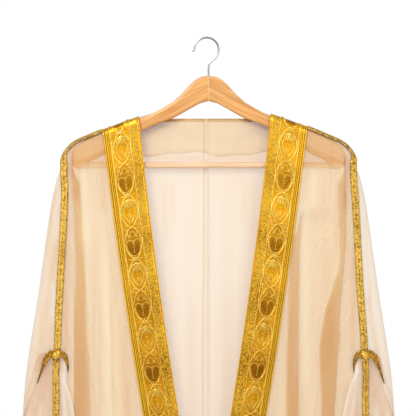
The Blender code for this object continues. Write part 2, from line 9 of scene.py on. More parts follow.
import bmesh
import bpy
import numpy as np
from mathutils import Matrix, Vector


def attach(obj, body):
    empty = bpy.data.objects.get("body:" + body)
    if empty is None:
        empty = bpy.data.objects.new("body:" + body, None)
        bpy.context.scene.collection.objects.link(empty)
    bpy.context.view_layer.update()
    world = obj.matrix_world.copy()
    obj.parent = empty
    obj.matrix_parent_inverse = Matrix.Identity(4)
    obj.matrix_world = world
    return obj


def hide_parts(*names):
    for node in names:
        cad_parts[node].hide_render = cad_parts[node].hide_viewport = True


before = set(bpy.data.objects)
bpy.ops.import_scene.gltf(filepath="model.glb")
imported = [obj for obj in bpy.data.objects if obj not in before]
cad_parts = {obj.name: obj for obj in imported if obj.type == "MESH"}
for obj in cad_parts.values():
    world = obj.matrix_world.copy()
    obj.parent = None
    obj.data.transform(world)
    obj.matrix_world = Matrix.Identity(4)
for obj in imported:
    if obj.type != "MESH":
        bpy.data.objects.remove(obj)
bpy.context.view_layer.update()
SIDES = {"left": -1, "right": 1}
print("plain nodes:", len(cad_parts))

# %% [markdown]
# ## Camera
# The cloak is seen square from the front, and the picture is 678 mm wide where it hangs. A long
# lens keeps the shoulders from looking nearer than the hem. Width over distance is sensor width
# over focal length, which gives the distance.

# %% Set the camera
VIEW_WIDTH = 0.678
LENS, SENSOR = 100.0, 36.0
view_centre = Vector((-0.0011, 0.0, -0.2761))
camera = bpy.data.objects.new("camera", bpy.data.cameras.new("camera"))
camera.data.lens = LENS
camera.data.sensor_width = SENSOR
camera.location = view_centre + Vector((0, -VIEW_WIDTH * LENS / SENSOR, 0))
camera.rotation_euler = (math.pi / 2, 0, 0)
bpy.context.scene.collection.objects.link(camera)
bpy.context.scene.camera = camera
print("camera distance", round(VIEW_WIDTH * LENS / SENSOR, 3), "m")

# %% [markdown]
# ## Light and backdrop
# The picture is on pure white, softly lit from high in front. The world is white to the camera
# and gentler as light, so that two large soft lamps can still draw the folds. A pale floor lies
# under the hem, out of the picture.


# %% Set the lights
def linear(code):
    """Turn an sRGB hex colour into linear light: c/12.92 when small, else ((c+.055)/1.055)^2.4."""
    parts = np.array([int(code[i:i + 2], 16) for i in (1, 3, 5)]) / 255
    light = np.where(parts <= 0.04045, parts / 12.92, ((parts + 0.055) / 1.055) ** 2.4)
    return (*light.tolist(), 1.0)


def soft_lamp(name, place, target, size, power):
    """Add a square lamp of one size at a place, turned to a target."""
    lamp = bpy.data.objects.new(name, bpy.data.lights.new(name, "AREA"))
    lamp.data.size = size
    lamp.data.energy = power
    lamp.location = place
    lamp.rotation_euler = (Vector(target) - Vector(place)).to_track_quat("-Z", "Y").to_euler()
    bpy.context.scene.collection.objects.link(lamp)


AMBIENT = 0.65
soft_lamp("key", (-0.9, -1.7, 1.1), (0, 0, -0.35), 0.9, 27)
soft_lamp("fill", (1.4, -1.9, 0.1), (0, 0, -0.5), 1.4, 10)
world = bpy.data.worlds.new("white_studio")
world.use_nodes = True
bpy.context.scene.world = world
sky = world.node_tree
sky.nodes.clear()
to_camera = sky.nodes.new("ShaderNodeLightPath")
shown = sky.nodes.new("ShaderNodeBackground")
shown.inputs["Color"].default_value = linear("#ffffff")
glow = sky.nodes.new("ShaderNodeBackground")
glow.inputs["Color"].default_value = linear("#ffffff")
glow.inputs["Strength"].default_value = AMBIENT
either = sky.nodes.new("ShaderNodeMixShader")
end = sky.nodes.new("ShaderNodeOutputWorld")
sky.links.new(to_camera.outputs["Is Camera Ray"], either.inputs[0])
sky.links.new(glow.outputs[0], either.inputs[1])
sky.links.new(shown.outputs[0], either.inputs[2])
sky.links.new(either.outputs[0], end.inputs[0])
bpy.context.scene.view_settings.view_transform = "Standard"
bpy.context.scene.cycles.transparent_max_bounces = 64

# %% [markdown]
# ## Two ways to make a mesh
# Nearly everything here is either a grid of points, such as cloth, or a round section carried
# along many lines at once, such as thread. Both are worked out as whole arrays and handed to
# Blender in one call. Each keeps a UV map in metres, so that a weave or a twist has a real size.


# %% Make grids and strands
def faces_of(rows, columns, around=False):
    """List a grid's quads: corner (r, c), then the one below, then across, then back up."""
    r, c = np.meshgrid(np.arange(rows - 1), np.arange(columns if around else columns - 1),
                       indexing="ij")
    n = (c + 1) % columns
    return np.stack([r * columns + c, (r + 1) * columns + c,
                     (r + 1) * columns + n, r * columns + n], axis=-1).reshape(-1, 4)


def fill_mesh(name, points, faces, corners, look, attributes=None):
    """Fill a mesh from arrays, with a UV map given at each face's corners, and named values."""
    mesh = bpy.data.meshes.new(name)
    mesh.from_pydata(points.reshape(-1, 3), [], faces.tolist())
    layer = mesh.uv_layers.new(name="metres")
    layer.data.foreach_set("uv", np.ascontiguousarray(corners, dtype="f").ravel())
    for key, values in (attributes or {}).items():
        mesh.attributes.new(key, "FLOAT", "POINT").data.foreach_set("value", values.ravel())
    mesh.materials.append(look)
    mesh.shade_smooth()
    made = bpy.data.objects.new(name, mesh)
    bpy.context.scene.collection.objects.link(made)
    return made


def lengths_of(points):
    """Measure along the rows of a grid, down its middle column, in metres."""
    middle = points[:, points.shape[1] // 2]
    return np.concatenate([[0], np.cumsum(np.linalg.norm(np.diff(middle, axis=0), axis=1))])


def widths_of(points):
    """Measure across a grid along each row, in metres."""
    steps = np.linalg.norm(np.diff(points, axis=1), axis=2)
    return np.concatenate([np.zeros((len(points), 1)), np.cumsum(steps, axis=1)], axis=1)


def normals_of(points, side):
    """Give a grid's outward normals: the way down crossed with the way across."""
    normal = np.cross(np.gradient(points, axis=0), np.gradient(points, axis=1)) * side
    return normal / np.maximum(np.linalg.norm(normal, axis=2, keepdims=True), 1e-12)


def cloth(name, points, side, thick, look, attributes=None):
    """Make a thin shell on a grid of middle points, with its weave measured in metres."""
    uv = np.stack([widths_of(points), np.broadcast_to(lengths_of(points)[:, None],
                                                      points.shape[:2])], axis=-1)
    faces = faces_of(*points.shape[:2])
    faces = faces if side > 0 else faces[:, ::-1]
    made = fill_mesh(name, points, faces, uv.reshape(-1, 2)[faces], look, attributes)
    shell = made.modifiers.new("thickness", "SOLIDIFY")
    shell.thickness = thick
    shell.offset = 0
    return made


def strands(name, paths, normals, wide, high, look, sides=6, sunk_shade=0.0):
    """Carry an oval section along many lines at once: place + across*cos + normal*sin.

    paths and normals are arrays of (strand, step, 3), wide and high are half sizes of the oval.
    "low" is painted shade: a share on the underside, and more where the last argument paints it.
    """
    count, steps = paths.shape[:2]
    tangent = np.gradient(paths, axis=1)
    tangent /= np.maximum(np.linalg.norm(tangent, axis=2, keepdims=True), 1e-12)
    normals = normals - tangent * np.sum(normals * tangent, axis=2, keepdims=True)
    normals /= np.maximum(np.linalg.norm(normals, axis=2, keepdims=True), 1e-12)
    across = np.cross(tangent, normals)
    angle = 2 * np.pi * np.arange(sides) / sides
    wide = np.broadcast_to(wide, (count, steps))[..., None, None]
    high = np.broadcast_to(high, (count, steps))[..., None, None]
    ring = (across[:, :, None] * wide * np.cos(angle)[:, None]
            + normals[:, :, None] * high * np.sin(angle)[:, None])
    points = paths[:, :, None] + ring
    along = np.concatenate([np.zeros((count, 1)), np.cumsum(
        np.linalg.norm(np.diff(paths, axis=1), axis=2), axis=1)], axis=1)
    one = faces_of(steps, sides, around=True)
    faces = (one[None] + (np.arange(count) * steps * sides)[:, None, None]).reshape(-1, 4)
    turn = np.broadcast_to((one[:, :1] % sides + [0, 0, 1, 1]) / sides, (count, *one.shape))
    corners = np.stack([turn, along[:, one // sides]], axis=-1)
    # Painted shade on each strand's underside, plus the painted shade passed in
    low = (0.5 - 0.5 * np.sin(angle)) ** 1.5 * 0.6
    low = np.broadcast_to(low, points.shape[:3]) + np.broadcast_to(
        sunk_shade, (count, steps))[..., None]
    made = fill_mesh(name, points, faces, corners, look, {"low": low})
    caps = np.arange(count)[:, None] * steps * sides + np.arange(sides)
    add_caps(made.data, caps, steps * sides - sides)
    return made


def add_caps(mesh, starts, far):
    """Close both ends of each strand with one face, as the thread's cut end."""
    body = bmesh.new()
    body.from_mesh(mesh)
    body.verts.ensure_lookup_table()
    for ring in starts.tolist():
        body.faces.new([body.verts[i] for i in ring])
        body.faces.new([body.verts[i + far] for i in ring])
    bmesh.ops.recalc_face_normals(body, faces=body.faces)
    body.to_mesh(mesh)
    body.free()
    mesh.shade_smooth()


# %% [markdown]
# ## The lines that the cloak hangs by
# The cloth hangs from two shoulder seams over the hanger, and every panel is found from a few
# lines: the seam, the opening, the side braid and the outer fold. They are the lines of the plain
# model, so the thin cloth lies where its solids are. "half" is the distance out from the middle
# and "drop" the distance below the hook's inner top.

# %% Lines measured from the hanger
HEM = 1.550
DEEP_TOP, DEEP_HEM = 0.0090, 0.0250
NECK_HALF, NECK_DROP = 0.0950, 0.1221
SLOPE_LENGTH, ROUND_LENGTH = 0.1237, 0.0472
BACK_NECK_DROP = 0.1306
SEAM_HALF = 0.0006
OPENING_SHIFT = -0.0064
BRAID_SHIFT = 0.0035
SLIT_TOP, SLIT_FRONT = 0.5050, 0.2330
FOLD_CLEAR = 0.0022
CLOTH_HALF = 0.0006

SIDE_LINES = np.array([
    # drop, braid, fold
    (0.204, 0.2345, 0.2345), (0.214, 0.2350, 0.2415), (0.230, 0.2355, 0.2475),
    (0.263, 0.2368, 0.2550), (0.345, 0.2411, 0.2673), (0.426, 0.2453, 0.2790),
    (0.512, 0.2488, 0.2926), (0.555, 0.2502, 0.2983), (0.615, 0.2520, 0.3030),
    (1.550, 0.2700, 0.3500),
])
SLIT_EDGE = np.array([
    # drop, edge of the back's cloth beside the slit
    (0.505, 0.2488), (0.512, 0.2620), (0.520, 0.2685), (0.543, 0.2761), (0.560, 0.2805),
    (0.612, 0.3010), (0.650, 0.3160), (1.550, 0.4000),
])


def ease(t):
    """Go smoothly from 0 to 1: t*t*(3 - 2t)."""
    t = np.clip(t, 0.0, 1.0)
    return t * t * (3 - 2 * t)


def smooth(at, places, values):
    """Read a smooth line through points, as cubics whose slopes never overshoot them."""
    at, places, values = np.asarray(at, float), np.asarray(places), np.asarray(values)
    step = np.diff(places)
    slope = np.diff(values) / step
    same = slope[:-1] * slope[1:] > 0
    total = np.where(same, slope[:-1] + slope[1:], 1.0)
    inner = np.where(same, 2 * slope[:-1] * slope[1:] / total, 0.0)
    tangent = np.concatenate([slope[:1], inner, slope[-1:]])
    i = np.clip(np.searchsorted(places, at) - 1, 0, len(step) - 1)
    t = np.clip((at - places[i]) / step[i], 0, 1)
    start = values[i] * (1 + 2 * t) * (1 - t) ** 2 + step[i] * tangent[i] * t * (1 - t) ** 2
    end = values[i + 1] * t * t * (3 - 2 * t) + step[i] * tangent[i + 1] * t * t * (t - 1)
    return start + end


def seam_line():
    """Walk the shoulder seam by its heading: down the arm, then round into the side line."""
    length = SLOPE_LENGTH + ROUND_LENGTH
    along = np.linspace(0, length, 481)
    heading = np.radians(np.interp(along, [0, SLOPE_LENGTH, length], (18.3, 24.5, 90.0)))
    middle = (heading[1:] + heading[:-1]) / 2
    half = NECK_HALF + np.concatenate([[0], np.cumsum(np.cos(middle)) * along[1]])
    drop = NECK_DROP + np.concatenate([[0], np.cumsum(np.sin(middle)) * along[1]])
    return np.stack([half, -DEEP_TOP * ease((np.degrees(heading) - 40) / 50), drop], axis=1)


SEAM = seam_line()


def deep(drop):
    """Half the distance between the front and back walls, growing from shoulder to hem."""
    return DEEP_TOP + (DEEP_HEM - DEEP_TOP) * ease((drop - 0.20) / (HEM - 0.20))


def braid_half(side, drop):
    """The side braid's place; the whole line hangs a little to the viewer's right."""
    line = smooth(drop, SIDE_LINES[:, 0], SIDE_LINES[:, 1])
    return line + side * BRAID_SHIFT * ease((drop - 0.204) / 0.06)


def fold_half(drop):
    """The outer fold, which is the cloak's outline from the front."""
    return smooth(drop, SIDE_LINES[:, 0], SIDE_LINES[:, 2])


def band_width(drop):
    """The gold band's width, a little more over the shoulder."""
    return 0.0565 + 0.0040 * np.exp(-(drop - 0.145) / 0.25)


def opening_half(side, drop):
    """The gold band's outer edge: it closes faster and faster, then settles near the hem."""
    below = np.minimum(drop - 0.145, 0.470)
    upper = 0.166 - 0.1188 * below - 0.0523 * below**2
    lower = 0.0650 + (0.0986 - 0.0650) * np.exp(-(drop - 0.615) / 0.200)
    return np.where(drop < 0.615, upper, lower) + side * OPENING_SHIFT


def front_edge(side, drop):
    """The edge at the opening: the band's outer edge less its width."""
    return opening_half(side, drop) - band_width(drop)


def front_side(side, drop):
    """The front panel's outer edge: along the braid, then along the slit for the hand."""
    braid = braid_half(side, drop) - SEAM_HALF
    return braid + (SLIT_FRONT + side * BRAID_SHIFT - braid) * ease((drop - SLIT_TOP) / 0.010)


def back_side(side, drop):
    """The edge of the back's cloth, which wraps round to the front as far as the braid."""
    above = braid_half(side, drop) + SEAM_HALF
    slit = smooth(drop, SLIT_EDGE[:, 0], SLIT_EDGE[:, 1])
    return np.minimum(above + (slit - above) * ease((drop - SLIT_TOP) / 0.004), fold_half(drop))


print("seam length", round(SLOPE_LENGTH + ROUND_LENGTH, 4), "m")

# %% [markdown]
# ## Folds
# Hanging voile falls in long soft folds that fade out near the shoulder, and the front panels
# also have a few laid pleats, where the cloth doubles back and lies three deep. Those show dark,
# because light crosses three more layers. A soft fold is a bell curve across the cloth that grows
# with the drop; a pleat is an arc out, a stretch back under it, and an arc to go on.

# %% Folds and pleats
FOLDS = {
    "front_left": np.array([
        # half, width, out
        (0.1060, 0.0160, 0.0060), (0.1480, 0.0110, -0.0050), (0.1720, 0.0100, 0.0060),
        (0.2270, 0.0060, -0.0030),
    ]),
    "front_right": np.array([
        (0.0900, 0.0150, 0.0050), (0.1680, 0.0130, 0.0070), (0.2270, 0.0060, -0.0030),
    ]),
    "back_left": np.array([
        (0.0280, 0.0120, 0.0070), (0.0640, 0.0140, -0.0060), (0.1040, 0.0150, 0.0080),
        (0.1500, 0.0160, -0.0060), (0.1950, 0.0160, 0.0080), (0.2420, 0.0150, -0.0050),
    ]),
    "back_right": np.array([
        (0.0340, 0.0130, 0.0060), (0.0750, 0.0150, -0.0060), (0.1180, 0.0150, 0.0080),
        (0.1620, 0.0150, -0.0070), (0.2080, 0.0160, 0.0070), (0.2500, 0.0150, -0.0040),
    ]),
}
PLEATS = {
    # where each begins, over what length it turns flat, and rows of drop, outer edge, overlap
    "left": [
        (0.180, 0.060, np.array([(0.240, 0.2205, 0.009), (0.302, 0.2160, 0.008),
                                 (0.382, 0.2150, 0.012), (0.459, 0.2175, 0.018),
                                 (0.545, 0.2179, 0.022), (0.615, 0.2180, 0.023),
                                 (1.550, 0.2180, 0.026)])),
    ],
    "right": [
        (0.270, 0.060, np.array([(0.150, 0.1740, 0.002), (0.200, 0.1650, 0.002),
                                 (0.240, 0.1580, 0.002), (0.270, 0.1525, 0.002),
                                 (0.300, 0.1480, 0.004), (0.366, 0.1452, 0.009),
                                 (0.475, 0.1448, 0.014), (0.615, 0.1447, 0.016),
                                 (1.550, 0.1470, 0.018)])),
        (0.180, 0.060, np.array([(0.230, 0.2205, 0.008), (0.312, 0.2222, 0.007),
                                 (0.366, 0.2186, 0.003), (0.410, 0.2150, 0.011),
                                 (0.447, 0.2120, 0.020), (0.503, 0.2098, 0.026),
                                 (0.556, 0.2060, 0.021), (0.615, 0.2032, 0.017),
                                 (1.550, 0.2060, 0.018)])),
    ],
}
PLEAT_ARC = math.pi * 0.0018
PLEAT_LEAST = 0.0016


def folds(table, half, drop):
    """Add up bell curves, each out*exp(-((half - place)/width)^2), growing with the drop."""
    grow = 0.25 * ease((drop - 0.22) / 0.25) + 0.75 * ease((drop - 0.35) / (HEM - 0.35))
    bells = [out * np.exp(-(((half - place) / width) ** 2)) for place, width, out in table]
    return np.sum(bells, axis=0) * grow


def pleat_sizes(row, drop):
    """Work out a pleat's turn, radius, start, overlap and step at given drops."""
    begins, ramp, table = row
    turned = ease((drop - begins) / ramp)
    turn = np.maximum(math.pi * turned, 0.03)
    radius = PLEAT_ARC / turn
    outer = smooth(drop, table[:, 0], table[:, 1])
    laid = smooth(drop, table[:, 0], table[:, 2])
    over = PLEAT_LEAST + (laid - PLEAT_LEAST) * turned**8
    start = outer - radius * np.sin(np.minimum(turn, math.pi / 2))
    step = 2 * radius * (1 - np.cos(turn)) + over * np.sin(turn)
    end = start + 2 * radius * np.sin(turn) + over * np.cos(turn)
    return {"turn": turn, "radius": radius, "start": start, "over": over, "step": step,
            "end": end}


def pleat_place(pleat, part, t):
    """Give half and lift at fraction t of the arc out, the stretch under, or the arc on."""
    turn, radius = pleat["turn"], pleat["radius"]
    arc = radius * (1 - np.cos(turn))
    reach = pleat["start"] + radius * np.sin(turn)
    if part == "out":
        return (pleat["start"] + radius * np.sin(turn * t),
                pleat["step"] - radius * (1 - np.cos(turn * t)))
    if part == "under":
        return (reach + pleat["over"] * t * np.cos(turn),
                pleat["step"] - arc - pleat["over"] * t * np.sin(turn))
    angle = turn * (1 - t)
    return (pleat["end"] - radius * np.sin(angle), radius * (1 - np.cos(angle)))


def front_columns(count, band=6, run=64):
    """List a front panel's columns from the opening to the side: part, pleat, fraction."""
    columns = [("band", 0, t) for t in np.linspace(0, 1, band + 1)]
    for number in range(count):
        steps = np.linspace(0, 1, run // count + 1)[1:]
        columns += [("run", number, t) for t in steps]
        columns += [("out", number, t) for t in np.linspace(0, 1, 8)[1:]]
        columns += [("under", number, t) for t in np.linspace(0, 1, 5)[1:]]
        columns += [("on", number, t) for t in np.linspace(0, 1, 8)[1:]]
    return columns + [("run", count, t) for t in np.linspace(0, 1, 9)[1:]]


def front_place(name, column, drop):
    """Give half and y of the front panel for one column at given drops."""
    side, pleats = SIDES[name], PLEATS[name]
    part, number, t = column
    inward = ease((drop - 0.226) / 0.080)
    begin = front_edge(side, drop)
    if part == "band":
        half, lift = begin + band_width(drop) * t, 0.0
    elif part == "run":
        begin, first = begin + band_width(drop), 0.0
        if number:
            last = pleat_sizes(pleats[number - 1], drop)
            begin, first = last["end"], -last["step"] * inward
        end, then = front_side(side, drop), 0.0
        if number < len(pleats):
            pleat = pleat_sizes(pleats[number], drop)
            end, then = pleat["start"], pleat["step"] * (1 - inward)
        half, lift = begin + (end - begin) * t, first + (then - first) * ease(t)
    else:
        pleat = pleat_sizes(pleats[number], drop)
        half, lift = pleat_place(pleat, part, t)
        lift = lift - pleat["step"] * inward
    return half, -deep(drop) - lift - folds(FOLDS["front_" + name], half, drop)


def back_place(name, column, drop):
    """Give half and y of the back panel: flat, then round the fold to the front."""
    side, across = SIDES[name], deep(drop)
    part, t = column
    fold = 0.012 + 0.4 * (across - DEEP_TOP)
    turn = fold_half(drop) - fold
    if part == "flat":
        half = SEAM_HALF / 2 + (turn - SEAM_HALF / 2) * t
        return half, across + folds(FOLDS["back_" + name], half, drop)
    edge = back_side(side, drop)
    last = math.pi - np.arcsin(np.clip((edge - turn) / fold, 0, 1))
    round_length = last * np.sqrt((fold**2 + across**2) / 2)
    at = t * (round_length + np.maximum(turn - edge, 0))
    angle = np.minimum(at, round_length) / round_length * last
    half = turn + fold * np.sin(angle) - np.maximum(at - round_length, 0)
    lift = folds(FOLDS["back_" + name], half, drop) * np.clip(np.cos(angle), 0, 1)
    return half, across * np.cos(angle) + lift


# %% [markdown]
# ## Panels over the shoulder
# Each column of a panel starts on the seam at the crest of the hanger's arm, goes over a round
# of 9 mm and hangs to the hem. The rows are close where the picture looks and wider below it.

# %% Panel grids
def panel_rows(top):
    """List a column's drops: round the crest by angle, then evenly down to the hem."""
    over = top + DEEP_TOP * (1 - np.cos(np.radians(np.linspace(0, 90, 9))))
    shown = np.linspace(over[-1], 0.640, 150)[1:]
    return np.concatenate([over, shown, np.linspace(0.640, HEM, 62)[1:]])


def over_the_ridge(half, y, drop, top_half, top_y):
    """Bring the first rows over the shoulder's round: share = 1 - sqrt(1 - (1 - turn)^2)."""
    turn = np.clip((drop - drop[0]) / DEEP_TOP, 0, 1)
    share = 1 - np.sqrt(1 - (1 - turn) ** 2)
    return half + (top_half - half[0]) * share, y + (top_y - y[0]) * share


def front_grid(name, columns):
    """Work out a front panel's middle surface, rows down and columns outward."""
    side = SIDES[name]
    edge, outer = front_edge(side, SEAM[:, 2]), SEAM[-1, 0]
    share = (SEAM[:, 0] - edge) / (outer - edge)
    first, last = front_edge(side, 0.150), front_side(side, 0.150)
    grid = []
    for column in columns:
        half, _ = front_place(name, column, np.array([0.150]))
        top = [np.interp((half[0] - first) / (last - first), share, SEAM[:, i]) for i in range(3)]
        drop = panel_rows(top[2])
        half, y = front_place(name, column, drop)
        half, y = over_the_ridge(half, y, drop, top[0], top[1] - SEAM_HALF / 2)
        grid.append(np.stack([side * half, y, -drop], axis=1))
    return np.stack(grid, axis=1)


def back_top(half):
    """Give y and drop of the back's top edge: the neck curve, then the shoulder seam."""
    ridge = np.interp(half, SEAM[:, 0], SEAM[:, 2])
    crest = np.interp(half, SEAM[:, 0], SEAM[:, 1]) + SEAM_HALF / 2
    y = DEEP_TOP + (crest - DEEP_TOP) * ease((half - 0.095) / 0.010)
    return y, BACK_NECK_DROP + (ridge - BACK_NECK_DROP) * ease((half - 0.076) / 0.018)


def back_grid(name):
    """Work out a back panel's middle surface, from the centre seam round to the front."""
    side = SIDES[name]
    places = np.concatenate([np.linspace(0, 0.083, 32), np.linspace(0.086, 0.112, 14),
                             np.linspace(0.115, 0.2225, 40)])
    turn = fold_half(0.20) - 0.012
    start = np.interp(turn, SEAM[:, 0], np.arange(len(SEAM)))
    grid = []
    for t in places / places[-1]:
        top_half = turn * t + SEAM_HALF / 2 * (1 - t)
        top_y, top_drop = back_top(top_half)
        drop = panel_rows(float(top_drop))
        half, y = back_place(name, ("flat", t), drop)
        half, y = over_the_ridge(half, y, drop, top_half, top_y)
        grid.append(np.stack([side * half, y, -drop], axis=1))
    for t in np.linspace(0, 1, 33)[1:]:
        at = start + (len(SEAM) - 1 - start) * t
        top = [np.interp(at, np.arange(len(SEAM)), SEAM[:, i]) for i in range(3)]
        drop = panel_rows(float(top[2]))
        half, y = back_place(name, ("wrap", t), drop)
        half, y = over_the_ridge(half, y, drop, top[0] + SEAM_HALF * t, top[1] + SEAM_HALF / 2)
        grid.append(np.stack([side * half, y, -drop], axis=1))
    return np.stack(grid, axis=1)


def gore_edges(side, drop):
    """Give the gore's inner edge, over the front panel, and its outer edge, inside the fold."""
    cap = SLIT_FRONT + side * BRAID_SHIFT + 0.0016
    inner = np.minimum(cap, 0.208 + 0.030 * np.exp(-(drop - 0.540) / 0.055))
    return inner, np.minimum(back_side(side, drop) + 0.010, fold_half(drop) - FOLD_CLEAR)


def gore_depth(side, half, drop):
    """Give the gore's y: it slants from before the front panel to inside the outer fold."""
    inner, outer = gore_edges(side, drop)
    t = (half - inner) / (outer - inner)
    fold = 0.012 + 0.4 * (deep(drop) - DEEP_TOP)
    share = np.clip((half - fold_half(drop) + fold) / (fold - FOLD_CLEAR), 0, 1)
    forward = 0.0024 + 0.0042 * ease((drop - 0.512) / 0.040)
    lift = forward - (forward + 0.0060) * ease(t)
    wave = 0.0016 * np.sin(2 * math.pi * 3.2 * t + 4 * drop) * ease((drop - 0.52) / 0.2) * (1 - t)
    return -(deep(drop) + lift + wave) * np.sqrt(1 - share**2)


def gore_grid(name):
    """Work out the gore from under the arched trim down to the hem, as one array."""
    side = SIDES[name]
    drop = np.concatenate([np.linspace(0.5115, 0.640, 44), np.linspace(0.640, HEM, 62)[1:]])
    inner, outer = gore_edges(side, drop)
    half = inner[:, None] + (outer - inner)[:, None] * np.linspace(0, 1, 64)
    y = gore_depth(side, half.T, drop).T
    return np.stack([side * half, y, -np.broadcast_to(drop[:, None], half.shape)], axis=-1)


fronts = {name: front_grid(name, front_columns(len(PLEATS[name]))) for name in SIDES}
backs = {name: back_grid(name) for name in SIDES}
gores = {name: gore_grid(name) for name in SIDES}
print("front grid", fronts["left"].shape, "back grid", backs["left"].shape)

# %% [markdown]
# ## Sheer voile
# Voile is a plain weave of fine, tightly twisted yarns set apart, so that about half of the light
# goes straight through. The eye sees a warm veil with soft lengthwise streaks where yarns vary,
# and it darkens by the layer. Straight see-through is a plain alpha; each wall of the thin shell
# has its own, so two of them make one layer. The yarns are 0.3 mm apart, which is too fine to
# show, so the streaks are drawn 2 to 6 mm wide.


# %% Materials from nodes
def new_look(name, colour, roughness, metallic=0.0, **numbers):
    """Start a material: one Principled shader with its constant settings."""
    look = bpy.data.materials.new(name)
    look.use_nodes = True
    shader = look.node_tree.nodes["Principled BSDF"]
    shader.inputs["Base Color"].default_value = linear(colour)
    shader.inputs["Roughness"].default_value = roughness
    shader.inputs["Metallic"].default_value = metallic
    for key, value in numbers.items():
        shader.inputs[key.replace("_", " ")].default_value = value
    look.diffuse_color = linear(colour)
    return look


def add(look, kind, inputs=None, **settings):
    """Add one node with its settings, and set or link its inputs; give the node back."""
    node = look.node_tree.nodes.new("ShaderNode" + kind)
    for key, value in settings.items():
        setattr(node, key, value)
    for key, value in (inputs or {}).items():
        if isinstance(value, bpy.types.NodeSocket):
            look.node_tree.links.new(value, node.inputs[key])
        else:
            node.inputs[key].default_value = value
    return node


def to_shader(look, **sockets):
    """Link sockets into the material's Principled shader."""
    shader = look.node_tree.nodes["Principled BSDF"]
    for key, socket in sockets.items():
        look.node_tree.links.new(socket, shader.inputs[key.replace("_", " ")])


def math_of(look, operation, first, second=0.0, third=0.0):
    """Add one sum, product or other step on numbers, and give its result."""
    values = {0: first, 1: second, 2: third}
    return add(look, "Math", values, operation=operation).outputs[0]


def blend_of(look, share, first, second, kind="MIX"):
    """Mix two colours by a share."""
    node = add(look, "Mix", {0: share, 6: first, 7: second}, data_type="RGBA", blend_type=kind)
    return node.outputs[2]


STREAKS = (170.0, 4.0, 1.0)  # streaks in a metre across and along the cloth


def voile(name, pale, deep_tone, alpha, base):
    """Make the sheer cloth: share of the deep tone = base + streaks + painted shade and highlight.
    """
    look = new_look(name, pale, 0.82, Alpha=alpha, Sheen_Weight=0.12, Sheen_Roughness=0.5)
    uv = add(look, "UVMap", uv_map="metres").outputs[0]
    streaks = add(look, "Mapping", {0: uv, "Scale": STREAKS}).outputs[0]
    noise = add(look, "TexNoise", {"Vector": streaks, "Scale": 1.0, "Detail": 1.0}).outputs[0]
    # Painted shade and painted highlight, which each cloth piece carries
    painted_shading = add(look, "Attribute", attribute_name="painted_shading").outputs["Fac"]
    yarns = math_of(look, "MULTIPLY_ADD", noise, 0.30, base - 0.15)
    share = math_of(look, "ADD", yarns, painted_shading)
    colour = blend_of(look, share, linear(pale), linear(deep_tone))
    bump = add(look, "Bump", {"Strength": 0.04, "Distance": 0.0006, "Height": noise}).outputs[0]
    to_shader(look, Base_Color=colour, Normal=bump)
    return look


# How much one layer hides of what is behind it. Front, back, gore and facing are one voile whose
# colours differ as painted light and shade for the light each layer gets: the gore, hanging before
# two other layers, is painted paler, and the facing, which lies on the back, has a darker deep tone
# for the painted shade under the arms
LAYERS = {"front": 0.56, "back": 0.52}
walls = {name: 1 - math.sqrt(1 - layer) for name, layer in LAYERS.items()}
front_voile = voile("sheer_voile_front", "#ffebbe", "#dc9620", walls["front"], 0.28)
gore_voile_lit = voile("sheer_voile_gore_lit", "#fff8e6", "#dc9620", walls["front"], 0.28)
back_voile = voile("sheer_voile_back", "#fbefdc", "#e8ad28", walls["back"], 0.50)
facing_voile = voile("sheer_voile_facing", "#ffe4b0", "#9a5c14", walls["back"], 0.16)
print("alpha of one wall", {name: round(alpha, 3) for name, alpha in walls.items()})

# %% [markdown]
# ## Zari gold
# Zari is silk or cotton wound with a flattened gilt wire. Laid side by side it gives a deep
# yellow satin; where a thread stands up and turns, it throws small bright glints. The raised
# threads have stripes along their twist; the ground has fine hatching and a speckled mesh strip.


# %% Gold thread
def gold_thread(name, pale, dark, twist, stripes=0.16, flecks=0.5, relief=0.4, grain=400.0):
    """Make twisted gilt thread: stripes where turns round and along are even, plus painted glints.

    A painted glint or shadow of a turn is one cell of 1 to 3 mm, as coarse as the picture needs to
    show it.
    """
    look = new_look(name, pale, 0.30, 0.88)
    uv = add(look, "UVMap", uv_map="metres").outputs[0]
    parts = add(look, "SeparateXYZ", {0: uv}).outputs
    turns = math_of(look, "MULTIPLY_ADD", parts[1], 1 / twist, parts[0])
    wave = math_of(look, "SINE", math_of(look, "MULTIPLY", turns, 2 * math.pi))
    # The "low" attribute is painted shade, set on the strands
    low = add(look, "Attribute", attribute_name="low").outputs["Fac"]
    deep = math_of(look, "MULTIPLY_ADD", low, 1.2, 0.6 * stripes)
    share = math_of(look, "MULTIPLY_ADD", wave, stripes, deep)
    place = add(look, "TexCoord").outputs["Object"]
    cells = add(look, "TexVoronoi", {"Vector": place, "Scale": grain}).outputs["Color"]
    glint = add(look, "SeparateXYZ", {0: cells}).outputs[0]
    painted_glint = math_of(look, "MULTIPLY_ADD", glint, flecks, -flecks / 2)
    share = math_of(look, "ADD", share, painted_glint)
    bump = add(look, "Bump", {"Strength": relief, "Distance": 0.0004, "Height": wave}).outputs[0]
    to_shader(look, Base_Color=blend_of(look, share, linear(pale), linear(dark)), Normal=bump)
    return look


bright_thread = gold_thread("zari_thread_bright", "#ffe972", "#e09414", 0.0030)
fine_thread = gold_thread("zari_thread_fine", "#ffd24e", "#b87006", 0.0024)
cord_thread = gold_thread("zari_cord", "#ffcc38", "#a86606", 0.0060, 0.04, 0.40, 0.05)
braid_thread = gold_thread("zari_braid_strand", "#ffd862", "#95560a", 0.0034, 0.14, 1.2, grain=540.0)
# The arch's strands are the braid's gilt in a darker copy: painted shade
arch_thread_shaded = gold_thread("zari_arch_strand_shaded", "#e6ac42", "#5a3604", 0.0040, 0.14, 1.0, grain=540.0)

